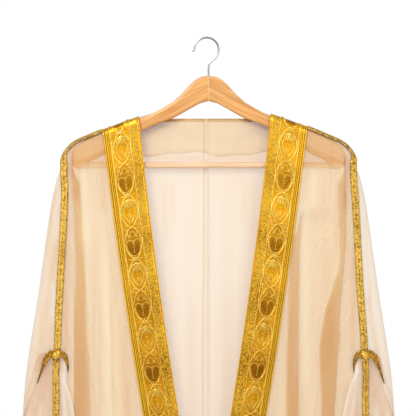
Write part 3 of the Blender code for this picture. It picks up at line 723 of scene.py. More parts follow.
# %% [markdown]
# ## The band's ground
# The woven ground under the raised thread has three strips: a speckled gold mesh beside the
# opening, a column of ovals filled with dark satin hatching, and plain gold under the cords. The
# ovals repeat every 51.7 mm, and every second one lies deeper in tone. Across is measured from
# the opening, and along from the shoulder, so the pattern follows the cloth wherever it turns.

# %% Woven ground
REPEAT = 0.0517
COLUMN_FROM, COLUMN_TO = 0.290, 0.800
PHASE = 0.0205
SWING, FULLNESS = 0.95, 0.62
GRAINS = (35.0, 590.0, 1.0)  # grains in the band's width and in a metre of its length
CLOUDS = (1.5, 24.0, 1.0)


def woven_ground(name):
    """Make the band's ground: hatching in the ovals |s| < |sin|^0.62, grains in the mesh strip."""
    look = new_look(name, "#e0aa28", 0.36, 0.88)
    uv = add(look, "UVMap", uv_map="share").outputs[0]
    parts = add(look, "SeparateXYZ", {0: uv}).outputs
    across, along = parts[0], parts[1]
    centre, reach = (COLUMN_FROM + COLUMN_TO) / 2, (COLUMN_TO - COLUMN_FROM) / 2
    s = math_of(look, "MULTIPLY", math_of(look, "SUBTRACT", across, centre), 1 / reach)
    turn = math_of(look, "MULTIPLY", math_of(look, "SUBTRACT", along, PHASE), math.pi / REPEAT)
    wave = math_of(look, "SINE", turn)
    bulge = math_of(look, "POWER", math_of(look, "ABSOLUTE", wave), FULLNESS)
    bulge = math_of(look, "MULTIPLY", bulge, SWING)
    inside = math_of(look, "SUBTRACT", bulge, math_of(look, "ABSOLUTE", s))
    oval = add(look, "MapRange", {0: inside, 1: 0.05, 2: 0.35}).outputs[0]
    odd = add(look, "MapRange", {0: wave, 1: 0.3, 2: -0.3, 3: 0.45, 4: 1.0}).outputs[0]
    lower = add(look, "MapRange", {0: math_of(look, "COSINE", turn), 1: -0.4, 2: 0.4, 3: 0.35,
                                   4: 1.0}).outputs[0]
    hatch = math_of(look, "SINE", math_of(look, "MULTIPLY", s, 44.0))
    hatch = math_of(look, "MULTIPLY_ADD", hatch, 0.22, 0.46)
    satin = math_of(look, "MULTIPLY", math_of(look, "MULTIPLY", oval, hatch), odd)
    satin = math_of(look, "MULTIPLY", satin, lower)
    place = add(look, "Mapping", {0: uv, "Scale": GRAINS}).outputs[0]
    cells = add(look, "TexVoronoi", {"Vector": place, "Scale": 1.0}).outputs["Color"]
    grain = add(look, "SeparateXYZ", {0: cells}).outputs[0]
    grain = add(look, "MapRange", {0: grain, 1: 0.1, 2: 0.9}).outputs[0]
    wide = add(look, "Mapping", {0: uv, "Scale": CLOUDS}).outputs[0]
    cloud = add(look, "TexNoise", {"Vector": wide, "Scale": 1.0, "Detail": 1.0}).outputs[0]
    mesh = add(look, "MapRange", {0: across, 1: 0.275, 2: 0.265}).outputs[0]
    cords = add(look, "MapRange", {0: across, 1: 0.80, 2: 0.81}).outputs[0]
    grains = math_of(look, "MULTIPLY", grain, math_of(look, "MULTIPLY_ADD", mesh, 0.52, 0.26))
    # Painted light: the ground is paler at the shoulder and darker down the band, as the light falls
    # off; the wave also makes every second oval darker
    fade = add(look, "MapRange", {0: along, 1: 0.10, 2: 0.45, 3: -0.36, 4: -0.13}).outputs[0]
    fade = math_of(look, "MULTIPLY_ADD", wave, -0.15, fade)
    calm = math_of(look, "MULTIPLY_ADD", mesh, -0.55, 0.80)
    share = math_of(look, "ADD", grains, math_of(look, "MULTIPLY_ADD", cloud, calm, fade))
    share = math_of(look, "ADD", math_of(look, "ADD", share, satin),
                    math_of(look, "MULTIPLY", cords, 0.3))
    column = blend_of(look, share, linear("#ffb61a"), linear("#744202"))
    woven = blend_of(look, share, linear("#ffc63c"), linear("#8a5208"))
    colour = blend_of(look, mesh, column, woven)
    height = math_of(look, "SUBTRACT", 1.0, share)
    bump = add(look, "Bump", {"Strength": 0.6, "Distance": 0.0008, "Height": height}).outputs[0]
    to_shader(look, Base_Color=colour, Normal=bump)
    return look


band_ground = woven_ground("zari_brocade_ground")

# %% [markdown]
# ## Cloth pieces
# Each panel is a half-millimetre shell on its middle surface. Each carries painted shade for the
# material: on the flanks of folds, where the cloth leans from the viewer, inside the laid pleats,
# in the fine creases that run down from the shoulder or out from the arch, and as painted shadow
# of the hanger, the bands, the facing and the arch; creases that shine get painted highlight. Each
# crease is a row of the table: a line from one place to another, its width, and how dark it is.

# %% Hang the panels
SHELL = 0.0005


# Creases, drawn as painted shade: from half, drop to half, drop; width; tone, which is less
# than 0 for a painted highlight where they shine.
# The back's are seen through the opening, and the rims' on the strips beyond the braids
CREASES = {
    "front_left": np.array([
        (0.2235, 0.160, 0.2225, 0.225, 0.0055, 0.40), (0.2150, 0.200, 0.2140, 0.262, 0.0080, 0.22),
        (0.2318, 0.280, 0.2318, 0.530, 0.0045, 0.36), (0.2228, 0.330, 0.2215, 0.410, 0.0022, 0.24),
        (0.2030, 0.195, 0.2000, 0.330, 0.0065, -0.34), (0.1985, 0.300, 0.1962, 0.660, 0.0024, -0.18),
        (0.1861, 0.330, 0.1872, 0.660, 0.0030, 0.12), (0.1755, 0.400, 0.1762, 0.660, 0.0034, 0.10),
        (0.1690, 0.300, 0.1590, 0.660, 0.0080, -0.26), (0.1612, 0.300, 0.1552, 0.600, 0.0016, 0.16),
        (0.1511, 0.400, 0.1450, 0.660, 0.0042, -0.14), (0.1715, 0.205, 0.1700, 0.275, 0.0060, 0.22),
        (0.1330, 0.540, 0.1285, 0.660, 0.0048, 0.26), (0.1364, 0.460, 0.1330, 0.530, 0.0040, 0.12),
        (0.1920, 0.230, 0.1925, 0.500, 0.0050, -0.08),
    ]),
    "front_right": np.array([
        (0.2250, 0.185, 0.2230, 0.270, 0.0060, 0.36), (0.1545, 0.205, 0.1562, 0.560, 0.0085, -0.30),
        (0.1700, 0.205, 0.1700, 0.270, 0.0060, -0.20), (0.2090, 0.225, 0.2070, 0.335, 0.0022, 0.22),
        (0.1930, 0.320, 0.1960, 0.520, 0.0105, 0.10), (0.2336, 0.320, 0.2362, 0.510, 0.0042, 0.40),
        (0.2230, 0.545, 0.2228, 0.660, 0.0035, 0.24), (0.1490, 0.560, 0.1495, 0.660, 0.0020, 0.14),
        (0.1920, 0.220, 0.1920, 0.270, 0.0020, -0.10), (0.1885, 0.215, 0.1870, 0.420, 0.0025, 0.08),
        (0.1800, 0.430, 0.1790, 0.660, 0.0040, 0.12), (0.1180, 0.500, 0.1150, 0.660, 0.0050, -0.14),
    ]),
    "back": np.array([
        (0.0480, 0.215, 0.0440, 0.660, 0.0120, -0.10), (0.0150, 0.230, 0.0140, 0.660, 0.0100, -0.08),
        (0.0600, 0.222, 0.0560, 0.300, 0.0050, 0.20), (0.0300, 0.400, 0.0260, 0.660, 0.0090, 0.14),
        (0.0770, 0.215, 0.0700, 0.330, 0.0060, 0.16),
    ]),
    "rim_left": np.array([
        (0.2460, 0.225, 0.2640, 0.340, 0.0055, 0.22), (0.2480, 0.320, 0.2540, 0.390, 0.0070, 0.40),
        (0.2560, 0.390, 0.2740, 0.530, 0.0048, 0.24), (0.2690, 0.420, 0.2780, 0.530, 0.0022, 0.16),
        (0.2510, 0.390, 0.2540, 0.450, 0.0030, -0.20), (0.2540, 0.455, 0.2610, 0.520, 0.0045, 0.30),
        (0.2500, 0.250, 0.2720, 0.420, 0.0022, 0.14), (0.2590, 0.440, 0.2640, 0.520, 0.0020, -0.16),
    ]),
    "rim_right": np.array([
        (0.2500, 0.270, 0.2640, 0.430, 0.0040, 0.22), (0.2560, 0.400, 0.2780, 0.540, 0.0060, 0.36),
        (0.2640, 0.460, 0.2760, 0.530, 0.0026, 0.24), (0.2640, 0.410, 0.2700, 0.500, 0.0026, -0.18),
        (0.2480, 0.230, 0.2600, 0.330, 0.0030, 0.14),
    ]),
    "gore": np.array([
        (0.2420, 0.520, 0.2250, 0.660, 0.0040, -0.38), (0.2400, 0.530, 0.2380, 0.660, 0.0042, 0.20),
        (0.2620, 0.518, 0.2700, 0.590, 0.0050, 0.26), (0.2640, 0.520, 0.2800, 0.660, 0.0030, -0.22),
        (0.2660, 0.545, 0.2920, 0.660, 0.0055, 0.16), (0.2560, 0.518, 0.2600, 0.660, 0.0034, 0.20),
    ]),
}


def crease_tone(table, half, drop):
    """Add up the creases' painted shade: tone * exp(-(distance/width)^2), fading in and out at their
    ends.
    """
    total = np.zeros(half.shape)
    for a, top, b, bottom, width, tone in table:
        t = (drop - top) / (bottom - top)
        line = a + (b - a) * t
        fade = ease(t / 0.25) * ease((1.25 - t) / 0.40 if bottom < 0.64 else 1.0)
        total += tone * fade * np.exp(-(((half - line) / width) ** 2))
    return total


def lean_painted_shade(points):
    """Paint shade by how steeply each place leans to the side: 1 - |normal towards the viewer|."""
    lean = 1 - np.abs(normals_of(points, 1)[..., 1])
    return np.clip(lean * 0.6, 0, 0.25)


def front_painted_tone(name, points):
    """Paint shade on a front panel where it leans, inside a pleat and in its creases, and paint the
    arm's shadow below the arm.
    """
    half, drop = np.abs(points[..., 0]), -points[..., 2]
    tone = lean_painted_shade(points) + crease_tone(CREASES["front_" + name], half, drop)
    # Painted shade inside each laid pleat, deeper lower down
    for pleat_row in PLEATS[name]:
        pleat = pleat_sizes(pleat_row, drop)
        reach = pleat["start"] + pleat["radius"] * np.sin(pleat["turn"])
        under = np.clip((reach + 0.0016 - half) / 0.0012, 0, 1)
        under = under * np.clip((half - reach + pleat["over"] + 0.0004) / 0.0012, 0, 1)
        laid = ease((drop - pleat_row[0] - 0.02) / 0.05)
        tone += under * laid * (0.18 + 0.16 * ease((drop - 0.30) / 0.32))
    # Painted shadow of the arm, between its lower edge and the bar
    arm_low = 0.1522 + 0.455 * (half - 0.113)
    between = ease((drop - arm_low) / 0.004) * ease((0.207 - drop) / 0.004)
    tone += between * 0.26
    return np.clip(tone, -0.28, 0.8)


def back_painted_tone(name, points):
    """Paint shade on the back: darker lower down, and painted shadow behind the bands' edges and
    under the facing and the bar.

    The strip that wraps round to the front has its own painted creases, a painted highlight on its
    outer edge and painted shade by the slit, and is painted paler overall.
    """
    side, half, drop = SIDES[name], np.abs(points[..., 0]), -points[..., 2]
    rim = np.asarray(points[..., 1] < 0) & (half > 0.23)
    # Painted light on the back behind the side strips, more on the viewer's right
    behind = (0.15 + 0.15 * side) * ease((half - 0.228) / 0.015)
    inside = np.clip(front_edge(side, drop) - half, 0, 1)
    # Darker towards the bottom, and painted shadow of the bands' edges
    tone = 0.20 * ease((drop - 0.30) / 0.34) + 0.42 * np.exp(-inside / 0.0095) * (half < 0.16)
    # Painted shadow under the facing's lower edge and under the bar
    tone += 0.38 * np.exp(-(((drop - 0.1935) / 0.0070) ** 2)) * (half < 0.118)
    tone += 0.34 * np.exp(-(((drop - 0.2135) / 0.0026) ** 2)) * (half < 0.118)
    # Painted crease shade and highlight, and painted shade on the viewer's right
    tone += crease_tone(CREASES["back"], half, drop) + 0.06 * side * ease(half / 0.05) - behind
    edge = np.clip(fold_half(drop) - half, 0, 1)
    # Painted highlight on the outer edge, painted shade by the slit, and the strips painted paler
    strip = crease_tone(CREASES["rim_" + name], half, drop) - 0.16 * np.exp(-(edge / 0.012) ** 2)
    strip += 0.30 * np.exp(-np.clip(half - back_side(side, drop), 0, 1) / 0.0014) * (drop > 0.52)
    strip -= 0.36 + 0.16 * side
    return np.clip(np.where(rim, strip, tone + 0.3 * lean_painted_shade(points)), -0.5, 0.8)


def gore_painted_tone(name, points):
    """Paint shade on the gore under its arch, in its creases and along its outer edge, and a painted
    highlight on its inner edge.
    """
    half, drop = np.abs(points[..., 0]), -points[..., 2]
    t = np.linspace(0, 1, points.shape[1])
    tone = 0.26 + 0.50 * np.exp(-(drop - 0.5115) / 0.016) + crease_tone(CREASES["gore"], half, drop)
    return np.clip(tone - 0.50 * np.exp(-((t / 0.09) ** 2)) + 0.5 * np.exp(-(((t - 1) / 0.04) ** 2)),
                   -0.28, 0.8)


def cut(points):
    """Give the flat size of a panel as cut: its widest row and its length down the middle."""
    return float(widths_of(points)[:, -1].max()), float(lengths_of(points)[-1])


def area_of(points):
    """Add up the two triangles of each quad of a grid, in square metres."""
    a, b, c, d = points[:-1, :-1], points[1:, :-1], points[1:, 1:], points[:-1, 1:]
    first = np.linalg.norm(np.cross(b - a, c - a), axis=-1)
    return float((first + np.linalg.norm(np.cross(c - a, d - a), axis=-1)).sum() / 2)


def hang(name, node, points, side, look, tone):
    piece = cloth(name, points, side, SHELL, look, {"painted_shading": tone})
    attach(piece, "root")
    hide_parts(node)
    print(name, [round(v, 3) for v in cut(points)], "m, area", round(area_of(points), 3))
    return piece


# The centre back seam's allowance is pressed to the viewer's left and bridges the two panels
allowance = np.concatenate([backs["right"][:, :1], backs["left"][:, :4]], axis=1)
allowance = allowance - np.array([0.0, 0.0011, 0.0])
# Painted light: the allowance is painted paler than its cloth, most in its middle
seam_painted_light = np.broadcast_to([-0.1, -0.2, -0.42, -0.42, -0.05], allowance.shape[:2])
allowance = cloth("voile_seam_allowance", allowance, -1, SHELL, back_voile, {"painted_shading": seam_painted_light})
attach(allowance, "root")
for name, side in SIDES.items():
    hang("voile_front_" + name, "front_" + name, fronts[name], side, front_voile,
         front_painted_tone(name, fronts[name]))
    hang("voile_back_" + name, "back_" + name, backs[name], -side, back_voile,
         back_painted_tone(name, backs[name]))
    hang("voile_gore_" + name, "side_gore_" + name, gores[name], side, gore_voile_lit,
         gore_painted_tone(name, gores[name]))

# %% [markdown]
# ## Facing inside the back neck
# A shaped layer faces the back neck inside; its lower edge waves a little, and it shows as a
# darker strip through the opening. It is painted darker just under the arms, as their painted
# shadow, and darker along its lower edge, and carries a few painted wrinkles, each a bell curve
# along a short slanting line: four of painted shade and two of painted highlight.

# %% Facing
def neck_grid(reach, top, bottom, away, across=97, rows=33):
    """Lay a strip inside or outside the back neck between two lines, over the cloth's round."""
    x = np.linspace(-reach, reach, across)
    t = np.linspace(0, 1, rows)[:, None]
    top_y, top_drop = back_top(np.abs(x))
    start = top_drop + top(np.abs(x))
    drop = start + (bottom(x) - start) * t
    turn = np.clip((drop - top_drop) / DEEP_TOP, 0, 1)
    share = 1 - np.sqrt(1 - (1 - turn) ** 2)
    y = DEEP_TOP + (top_y - DEEP_TOP) * share + away
    return np.stack([np.broadcast_to(x, drop.shape), y, -drop], axis=-1)


def facing_low(x):
    """The facing's lower edge: two waves of 3 and 1.5 mm about a drop of 188 mm."""
    return 0.1880 + 0.0030 * np.sin(x / 0.021) + 0.0015 * np.sin(x / 0.009)


facing_points = neck_grid(
    0.1170, lambda half: 0.0010 + 0.0065 * ease((half - 0.078) / 0.014), facing_low,
    -(CLOTH_HALF + 0.0008))
under_arm = np.interp(np.abs(facing_points[..., 0]), (0.029, 0.056, 0.084, 0.113),
                      (0.1138, 0.1288, 0.1390, 0.1522))
# Painted shadow of the arms, and a darker lower edge
shade = np.exp(-np.clip(-facing_points[..., 2] - under_arm, 0, 1) / 0.010)
shade = 1.0 * shade * ease((np.abs(facing_points[..., 0]) - 0.030) / 0.060)
shade += 0.16 * np.exp(-((np.linspace(1, 0, len(facing_points)) / 0.06) ** 2))[:, None]
# Painted wrinkles: shade where the tone is above 0, highlight where it is below
for x, drop, slope, width, tone in (
        (-0.045, 0.150, 0.30, 0.0060, 0.07), (-0.060, 0.172, 0.10, 0.0040, -0.06),
        (0.020, 0.140, -0.10, 0.0040, 0.05), (0.060, 0.158, -0.30, 0.0070, 0.08),
        (0.000, 0.176, 0.00, 0.0060, -0.06), (0.075, 0.178, 0.20, 0.0040, 0.06)):
    across = facing_points[..., 0] - x
    away = (-facing_points[..., 2] - drop - slope * across) / width
    shade += tone * np.exp(-(away**2) - (across / 0.035) ** 2)
facing = cloth("voile_neck_facing", facing_points, 1, 0.0008, facing_voile, {"painted_shading": shade})
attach(facing, "root")
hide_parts("back_neck_facing")

# %% [markdown]
# ## Gold bands
# The bands lie on the front edges. The ground is a shell moved out along the front panel's
# normals, with its map across as a share of the width and along in metres from the shoulder.

# %% Lay the grounds
BAND_LIFT = CLOTH_HALF + 0.0003 + 0.0006


def with_share(piece, points, side):
    """Add a map of the share across and the metres along to a cloth grid's mesh."""
    share = np.broadcast_to(np.linspace(0, 1, points.shape[1]), points.shape[:2])
    uv = np.stack([share, np.broadcast_to(lengths_of(points)[:, None], share.shape)], axis=-1)
    faces = faces_of(*points.shape[:2])
    faces = faces if side > 0 else faces[:, ::-1]
    layer = piece.data.uv_layers.new(name="share")
    layer.data.foreach_set("uv", uv.reshape(-1, 2)[faces].astype("f").ravel())


bands = {}
for name, side in SIDES.items():
    surface = front_grid(name, [("band", 0, t) for t in np.linspace(0, 1, 13)])
    out = normals_of(surface, side)
    bands[name] = (surface + out * BAND_LIFT, out)
    ground = cloth("zari_ground_" + name, bands[name][0], side, 0.0010, band_ground)
    with_share(ground, bands[name][0], side)
    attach(ground, "root")
    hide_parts("front_band_" + name)
    print("band", name, [round(v, 3) for v in cut(surface)])

# %% [markdown]
# ## Raised thread on the bands
# The worker couches thicker gilt thread over the ground: two twisted borders, two lines that
# swing and cross to make a chain of ovals, and curls with a bead in the spaces beside every
# crossing. Each line is drawn flat first, as an array of s (-1 to 1 over the column) and metres
# along, and then laid on the band by looking up its place and normal in the band's grid.


# %% Lay lines on the band
def on_band(name, across, along, lift):
    """Look up places on the band by share across and metres along, moved out by a lift."""
    points, out = bands[name]
    rows = np.interp(along, lengths_of(points), np.arange(len(points)))
    columns = np.clip(across, 0, 1) * (points.shape[1] - 1)
    r = np.minimum(rows.astype(int), len(points) - 2)
    c = np.minimum(columns.astype(int), points.shape[1] - 2)
    fr, fc = (rows - r)[..., None], (columns - c)[..., None]

    def read(grid):
        low = grid[r, c] * (1 - fc) + grid[r, c + 1] * fc
        high = grid[r + 1, c] * (1 - fc) + grid[r + 1, c + 1] * fc
        return low * (1 - fr) + high * fr

    normal = read(out)
    return read(points) + normal * np.broadcast_to(lift, across.shape)[..., None], normal


def column_share(s):
    """Turn s, from -1 to 1 over the pattern's column, into a share of the band's width."""
    return (COLUMN_FROM + COLUMN_TO) / 2 + s * (COLUMN_TO - COLUMN_FROM) / 2


def crossings_of(name):
    """List how far along the band each crossing of the two swinging lines lies."""
    length = lengths_of(bands[name][0])[-1]
    return np.arange(PHASE, length - REPEAT * 0.7, REPEAT), length


def lay(piece_name, name, s, along, radius, lift, look, sides=5):
    """Lay flat lines, given as arrays of (line, step), on a band as round threads."""
    paths, normals = on_band(name, column_share(s), along, lift)
    # Painted shade: the threads darken down the band as the light falls off, and over every second
    # oval
    deeper = 0.24 * ease((along - 0.12) / 0.30)
    deeper = deeper + 0.11 * (1 - np.sin(math.pi * (along - PHASE) / REPEAT))
    made = strands(piece_name, paths, normals, radius, radius, look, sides, deeper)
    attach(made, "root")
    return made


# %% [markdown]
# ### The figures of one repeat
# Every second crossing is plain, with a ring and a bead on each side; the others are small stars.
# Ovals below a star hold a palm leaf with two beads, the others a heart of two lobes with a row
# of dots. A figure is a set of short lines about its crossing: s across, and metres
# down. Each is repeated by adding the crossings' places.


# %% Figures
def swinging_lines(name, swing, rise):
    """Two lines that cross once a repeat: s = +-swing*|sin|^0.62, with the sine's sign."""
    _, length = crossings_of(name)
    along = np.linspace(0.001, length - 0.001, 1100)
    wave = np.sin(math.pi * (along - PHASE) / REPEAT)
    s = swing * np.sign(wave) * np.abs(wave) ** FULLNESS
    over = 0.0003 * np.sign(np.cos(math.pi * (along - PHASE) / REPEAT))
    return np.stack([s, -s]), np.stack([along, along]), rise + np.stack([over, -over])


def repeated(name, s, down, parity):
    """Repeat a figure's lines at every second crossing, from the first (0) or second (1)."""
    crossings = crossings_of(name)[0][parity::2]
    s = np.broadcast_to(s, (len(crossings), *s.shape)).reshape(-1, s.shape[-1])
    along = (crossings[:, None, None] + down).reshape(-1, down.shape[-1])
    return s, along


def arc(centre_s, centre_down, wide, high, start, stop, steps=12, shrink=0.0):
    """Draw part of an oval: centre + (wide*cos, high*sin), which may shrink as it turns."""
    angle = np.linspace(start, stop, steps) * math.pi
    size = 1 - shrink * np.linspace(0, 1, steps)
    return centre_s + wide * size * np.cos(angle), centre_down + high * size * np.sin(angle)


def both_sides(lines):
    """Add each line's mirror image across the column, and stack them as arrays."""
    s = np.stack([line[0] for line in lines] + [-line[0] for line in lines])
    return s, np.stack([line[1] for line in lines] * 2)


def leaf_lines():
    """A palm leaf under a star: four ribs a side, a tear, and an oval nested in the oval."""
    t = np.linspace(0, 1, 12)
    ribs = [(reach * np.sin(t * math.pi * 0.55), 0.0060 + t * (0.0150 - 0.009 * reach))
            for reach in (0.10, 0.28, 0.48, 0.68)]
    ring = arc(0.0, 0.0340, 0.11, 0.0030, -0.5, 0.5)
    foot = (0.44 * (1 - t) ** 0.7, 0.0370 + 0.0085 * t)
    nest = (0.64 * np.sin(t * math.pi) ** 0.8, 0.0120 + 0.0300 * t)
    return both_sides(ribs + [ring, foot, nest])


def heart_lines():
    """A heart under a plain crossing: two lobes that meet at the foot, under a pitched line."""
    lobe = arc(0.42, 0.0285, 0.40, 0.0080, -1.0, 0.05)
    t = np.linspace(0, 1, 12)
    flank = (0.82 * np.cos(t * math.pi / 2) ** 0.8, 0.0285 + 0.0180 * np.sin(t * math.pi / 2))
    leg = (0.06 + 0.50 * t, 0.0060 + 0.0120 * t)
    frill = arc(0.26, 0.0165, 0.12, 0.0024, 0.9, 2.0)
    return both_sides([lobe, flank, leg, frill])


def star_lines():
    """A small diamond on the crossing with three rays a side."""
    t = np.linspace(0, 1, 12)
    diamond = (0.16 * (1 - np.abs(2 * t - 1)), -0.0042 + 0.0084 * t)
    rays = [(0.16 + reach * t, turn * t * 0.0085) for reach, turn in
            ((0.62, 0.0), (0.46, 1.0), (0.46, -1.0))]
    return both_sides([diamond, *rays])


def ring_lines():
    """A curl on each side of a plain crossing, open towards it, with a smaller one inside."""
    curl = arc(0.62, -0.0006, 0.27, 0.0048, 0.85, -0.95, shrink=0.25)
    hook = arc(0.40, 0.0102, 0.16, 0.0026, 1.1, -0.4)
    return both_sides([curl, hook])


def bead_places(parity):
    """List beads about a crossing as s and metres down, for stars (0) and plain ones (1)."""
    if parity == 0:
        spots = [(0.0, 0.0245), (0.0, 0.0300), (-0.60, 0.0110), (0.60, 0.0110)]
    else:
        spots = [(0.0, 0.0225 + 0.0036 * i) for i in range(6)]
        spots += [(-0.62, -0.0004), (0.62, -0.0004), (-0.80, 0.0090), (0.80, 0.0090)]
    t = np.linspace(-1, 1, 7)
    s = np.array(spots)[:, :1] + 0 * t
    return s, np.array(spots)[:, 1:] + 0.0013 * t


for name in SIDES:
    _, length = crossings_of(name)
    s, along, lift = swinging_lines(name, SWING, 0.0008)
    lay("zari_ovals_" + name, name, s, along, 0.0011, lift, bright_thread)
    s, along, lift = swinging_lines(name, SWING - 0.17, 0.0005)
    lay("zari_inner_ovals_" + name, name, s, along, 0.0007, lift, fine_thread)
    along = np.broadcast_to(np.linspace(0.0005, length - 0.0005, 1100), (2, 1100))
    ripple = 0.030 * np.sin(2 * math.pi * along / REPEAT + 1.0)
    edge = np.array([[-1.04], [1.04]]) + ripple
    swell = 0.0010 * (1 + 0.28 * np.sin(2 * math.pi * along / 0.0052))
    lay("zari_borders_" + name, name, edge, along, swell, 0.0009, bright_thread)
    for title, lines, parity, radius, look in (
            ("leaves", leaf_lines(), 0, 0.00075, bright_thread),
            ("stars", star_lines(), 0, 0.00075, bright_thread),
            ("hearts", heart_lines(), 1, 0.00075, bright_thread),
            ("rings", ring_lines(), 1, 0.00080, bright_thread)):
        lay(f"zari_{title}_{name}", name, *repeated(name, *lines, parity), radius, 0.0006, look)
    for parity, title in enumerate(("leaf_beads", "heart_beads")):
        round_beads = 0.0014 * np.sqrt(np.clip(1.02 - np.linspace(-1, 1, 7) ** 2, 0, 1))
        lay(f"zari_{title}_{name}", name, *repeated(name, *bead_places(parity), parity),
            round_beads, 0.0008, bright_thread)
    along = np.broadcast_to(np.linspace(0.0005, length - 0.0005, 700), (5, 700))
    share = np.array([0.006, 0.836, 0.882, 0.930, 0.985])[:, None] + 0 * along
    paths, normals = on_band(name, share, along, 0.0008)
    thick = np.array([[0.0009], [0.0011], [0.0009], [0.0013], [0.0013]])
    cords = strands("zari_cords_" + name, paths, normals, thick, thick * 0.9, cord_thread)
    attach(cords, "root")
    print("crossings on the", name, "band:", len(crossings_of(name)[0]))

# %% [markdown]
# ## Plaited braid
# The braid is a flat plait of three gilt strands. Each strand swings across the braid as a sine
# and rises and dips at twice that pace, so it goes over and under the others, a third of a turn
# apart. It follows the shoulder, then the side, and starts again down the gore.


# %% Plait the braids
BRAID_CLEAR = CLOTH_HALF + 0.0003 + 0.0014
RIDGE_TILT = math.radians(26)


def plait(name, path, normals, wide, high, pitch, look, share=None):
    """Plait three strands on a path: across = wide*sin(a), out = high*sin(2a), a by length."""
    steps = np.concatenate([[0], np.cumsum(np.linalg.norm(np.diff(path, axis=0), axis=1))])
    at = np.linspace(0, steps[-1], int(steps[-1] / pitch * 9))
    line = np.stack([np.interp(at, steps, path[:, i]) for i in range(3)], axis=1)
    out = np.stack([np.interp(at, steps, normals[:, i]) for i in range(3)], axis=1)
    scale = np.ones(len(at)) if share is None else np.interp(at, steps, share)
    across = np.cross(np.gradient(line, axis=0), out)
    across /= np.linalg.norm(across, axis=1, keepdims=True)
    angle = 2 * math.pi * at / pitch + np.arange(3)[:, None] * math.pi * 2 / 3
    swing = (wide * scale * np.sin(angle))[..., None]
    rise = (high * scale * np.sin(2 * angle))[..., None]
    paths = line + across * swing + out * rise
    # The last number is painted shade where a strand dips under the others
    made = strands(name, paths, np.broadcast_to(out, paths.shape), 0.00165 * scale,
                   0.0011 * scale, look, sunk_shade=0.45 * (1 - np.sin(2 * angle)))
    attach(made, "root")
    return made


def braid_line(name):
    """Follow the seam from the gold band over the shoulder and down to the slit.

    On the ridge the braid tilts forward, and on the viewer's right it lies up to 2.6 mm closer in.
    """
    side = SIDES[name]
    shoulder = SEAM[SEAM[:, 0] > opening_half(side, 0.150) + 0.0008][::6]
    heading = np.arctan2(np.gradient(shoulder[:, 2]), np.gradient(shoulder[:, 0]))
    lean = np.arcsin(np.clip(-shoulder[:, 1] / DEEP_TOP, 0, 1))
    tilted = np.maximum(lean, RIDGE_TILT)
    shoulder = np.stack([shoulder[:, 0], -DEEP_TOP * np.sin(tilted), shoulder[:, 2]
                         + DEEP_TOP * (np.cos(lean) - np.cos(tilted))], axis=1)
    lean = tilted
    drops = np.linspace(0.2140, SLIT_TOP + 0.0060, 60)
    closer = 0.0026 * ease((drops - 0.20) / 0.05) * (1 - ease((drops - 0.40) / 0.10))
    half = braid_half(side, drops) - closer * (side > 0)
    line = np.stack([half, -deep(drops), drops], axis=1)
    path = np.concatenate([shoulder, line])
    up = np.stack([np.sin(heading) * np.cos(lean), -np.sin(lean),
                   -np.cos(heading) * np.cos(lean)], axis=1)
    normals = np.concatenate([up, np.tile([0.0, -1.0, 0.0], (len(line), 1))])
    bulge = np.exp(-(((path[:, 2] - 0.196) / 0.022) ** 2))
    path = path + normals * (BRAID_CLEAR + 0.0018 * bulge)[:, None]
    flip = np.array([side, 1, -1])
    return path * flip, normals * flip


def gore_braid_line(name):
    """Follow the side line down the gore, up to 2.2 mm closer in, with the gore's own normals."""
    side = SIDES[name]
    drops = np.linspace(0.5165, HEM - 0.002, 160)
    half, reach = braid_half(side, drops) - 0.0022 * ease((drops - 0.53) / 0.07), 0.003
    rise = gore_depth(side, half + reach, drops) - gore_depth(side, half - reach, drops)
    normals = np.stack([side * rise / (2 * reach), -np.ones(len(drops)), 0 * drops], axis=1)
    normals /= np.linalg.norm(normals, axis=1, keepdims=True)
    path = np.stack([side * half, gore_depth(side, half, drops), -drops], axis=1)
    return path + normals * (BRAID_CLEAR + 0.0006), normals


TRIM_LINE = np.array([
    # half, drop, forward, share of the full width
    (0.2805, 0.5597, 0.0027, 0.16), (0.2750, 0.5434, 0.0030, 0.38), (0.2700, 0.5290, 0.0038, 0.66),
    (0.2640, 0.5170, 0.0052, 1.00), (0.2560, 0.5105, 0.0059, 1.00), (0.2470, 0.5095, 0.0059, 1.00),
    (0.2385, 0.5130, 0.0060, 0.90), (0.2332, 0.5220, 0.0060, 0.60), (0.2312, 0.5320, 0.0044, 0.36),
    (0.2310, 0.5410, 0.0034, 0.16),
])


def trim_line(name):
    """Arch the trim over the slit, with how wide it is at each point."""
    side, rows = SIDES[name], np.arange(len(TRIM_LINE), dtype=float)
    at = np.linspace(0, len(TRIM_LINE) - 1, 60)
    half, drop, forward, share = (smooth(at, rows, TRIM_LINE[:, i]) for i in range(4))
    path = np.stack([side * (half + side * BRAID_SHIFT), -deep(drop) - forward, -drop], axis=1)
    return path, np.tile([0.0, -1.0, 0.0], (len(path), 1)), share


def flat_core(name, path, normals, wide, look):
    """Lay a thin flat ribbon under a plait, so that no cloth shows between its strands; it is
    painted dark, as the shade between them.
    """
    made = strands(name, path[None], normals[None], wide, 0.0006, look, sunk_shade=0.75)
    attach(made, "root")


def knot(name):
    """Wrap four turns of thread round the place where the braid goes under the arch."""
    side = SIDES[name]
    drops = np.array([0.5090, 0.5122, 0.5154, 0.5186])[:, None]
    t = np.linspace(-1, 1, 15)
    reach = np.array([0.0058, 0.0072, 0.0070, 0.0056])[:, None] * t
    half = braid_half(side, drops) + reach
    y = -deep(drops) - 0.0074 - 0.0024 * np.sqrt(np.clip(1 - t**2, 0, 1)) + 0 * half
    paths = np.stack([side * half, y, -(drops + 0.0012 * t)], axis=2)
    # Painted shade on the last, lowest turn and at each turn's ends
    sunk_shade = np.array([0.05, 0.0, 0.05, 0.5])[:, None] + 0.4 * np.abs(t) ** 3
    made = strands("zari_knot_" + name, paths, np.broadcast_to([0.0, -1.0, 0.0], paths.shape),
                   0.0018, 0.0014, braid_thread, 8, sunk_shade)
    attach(made, "root")


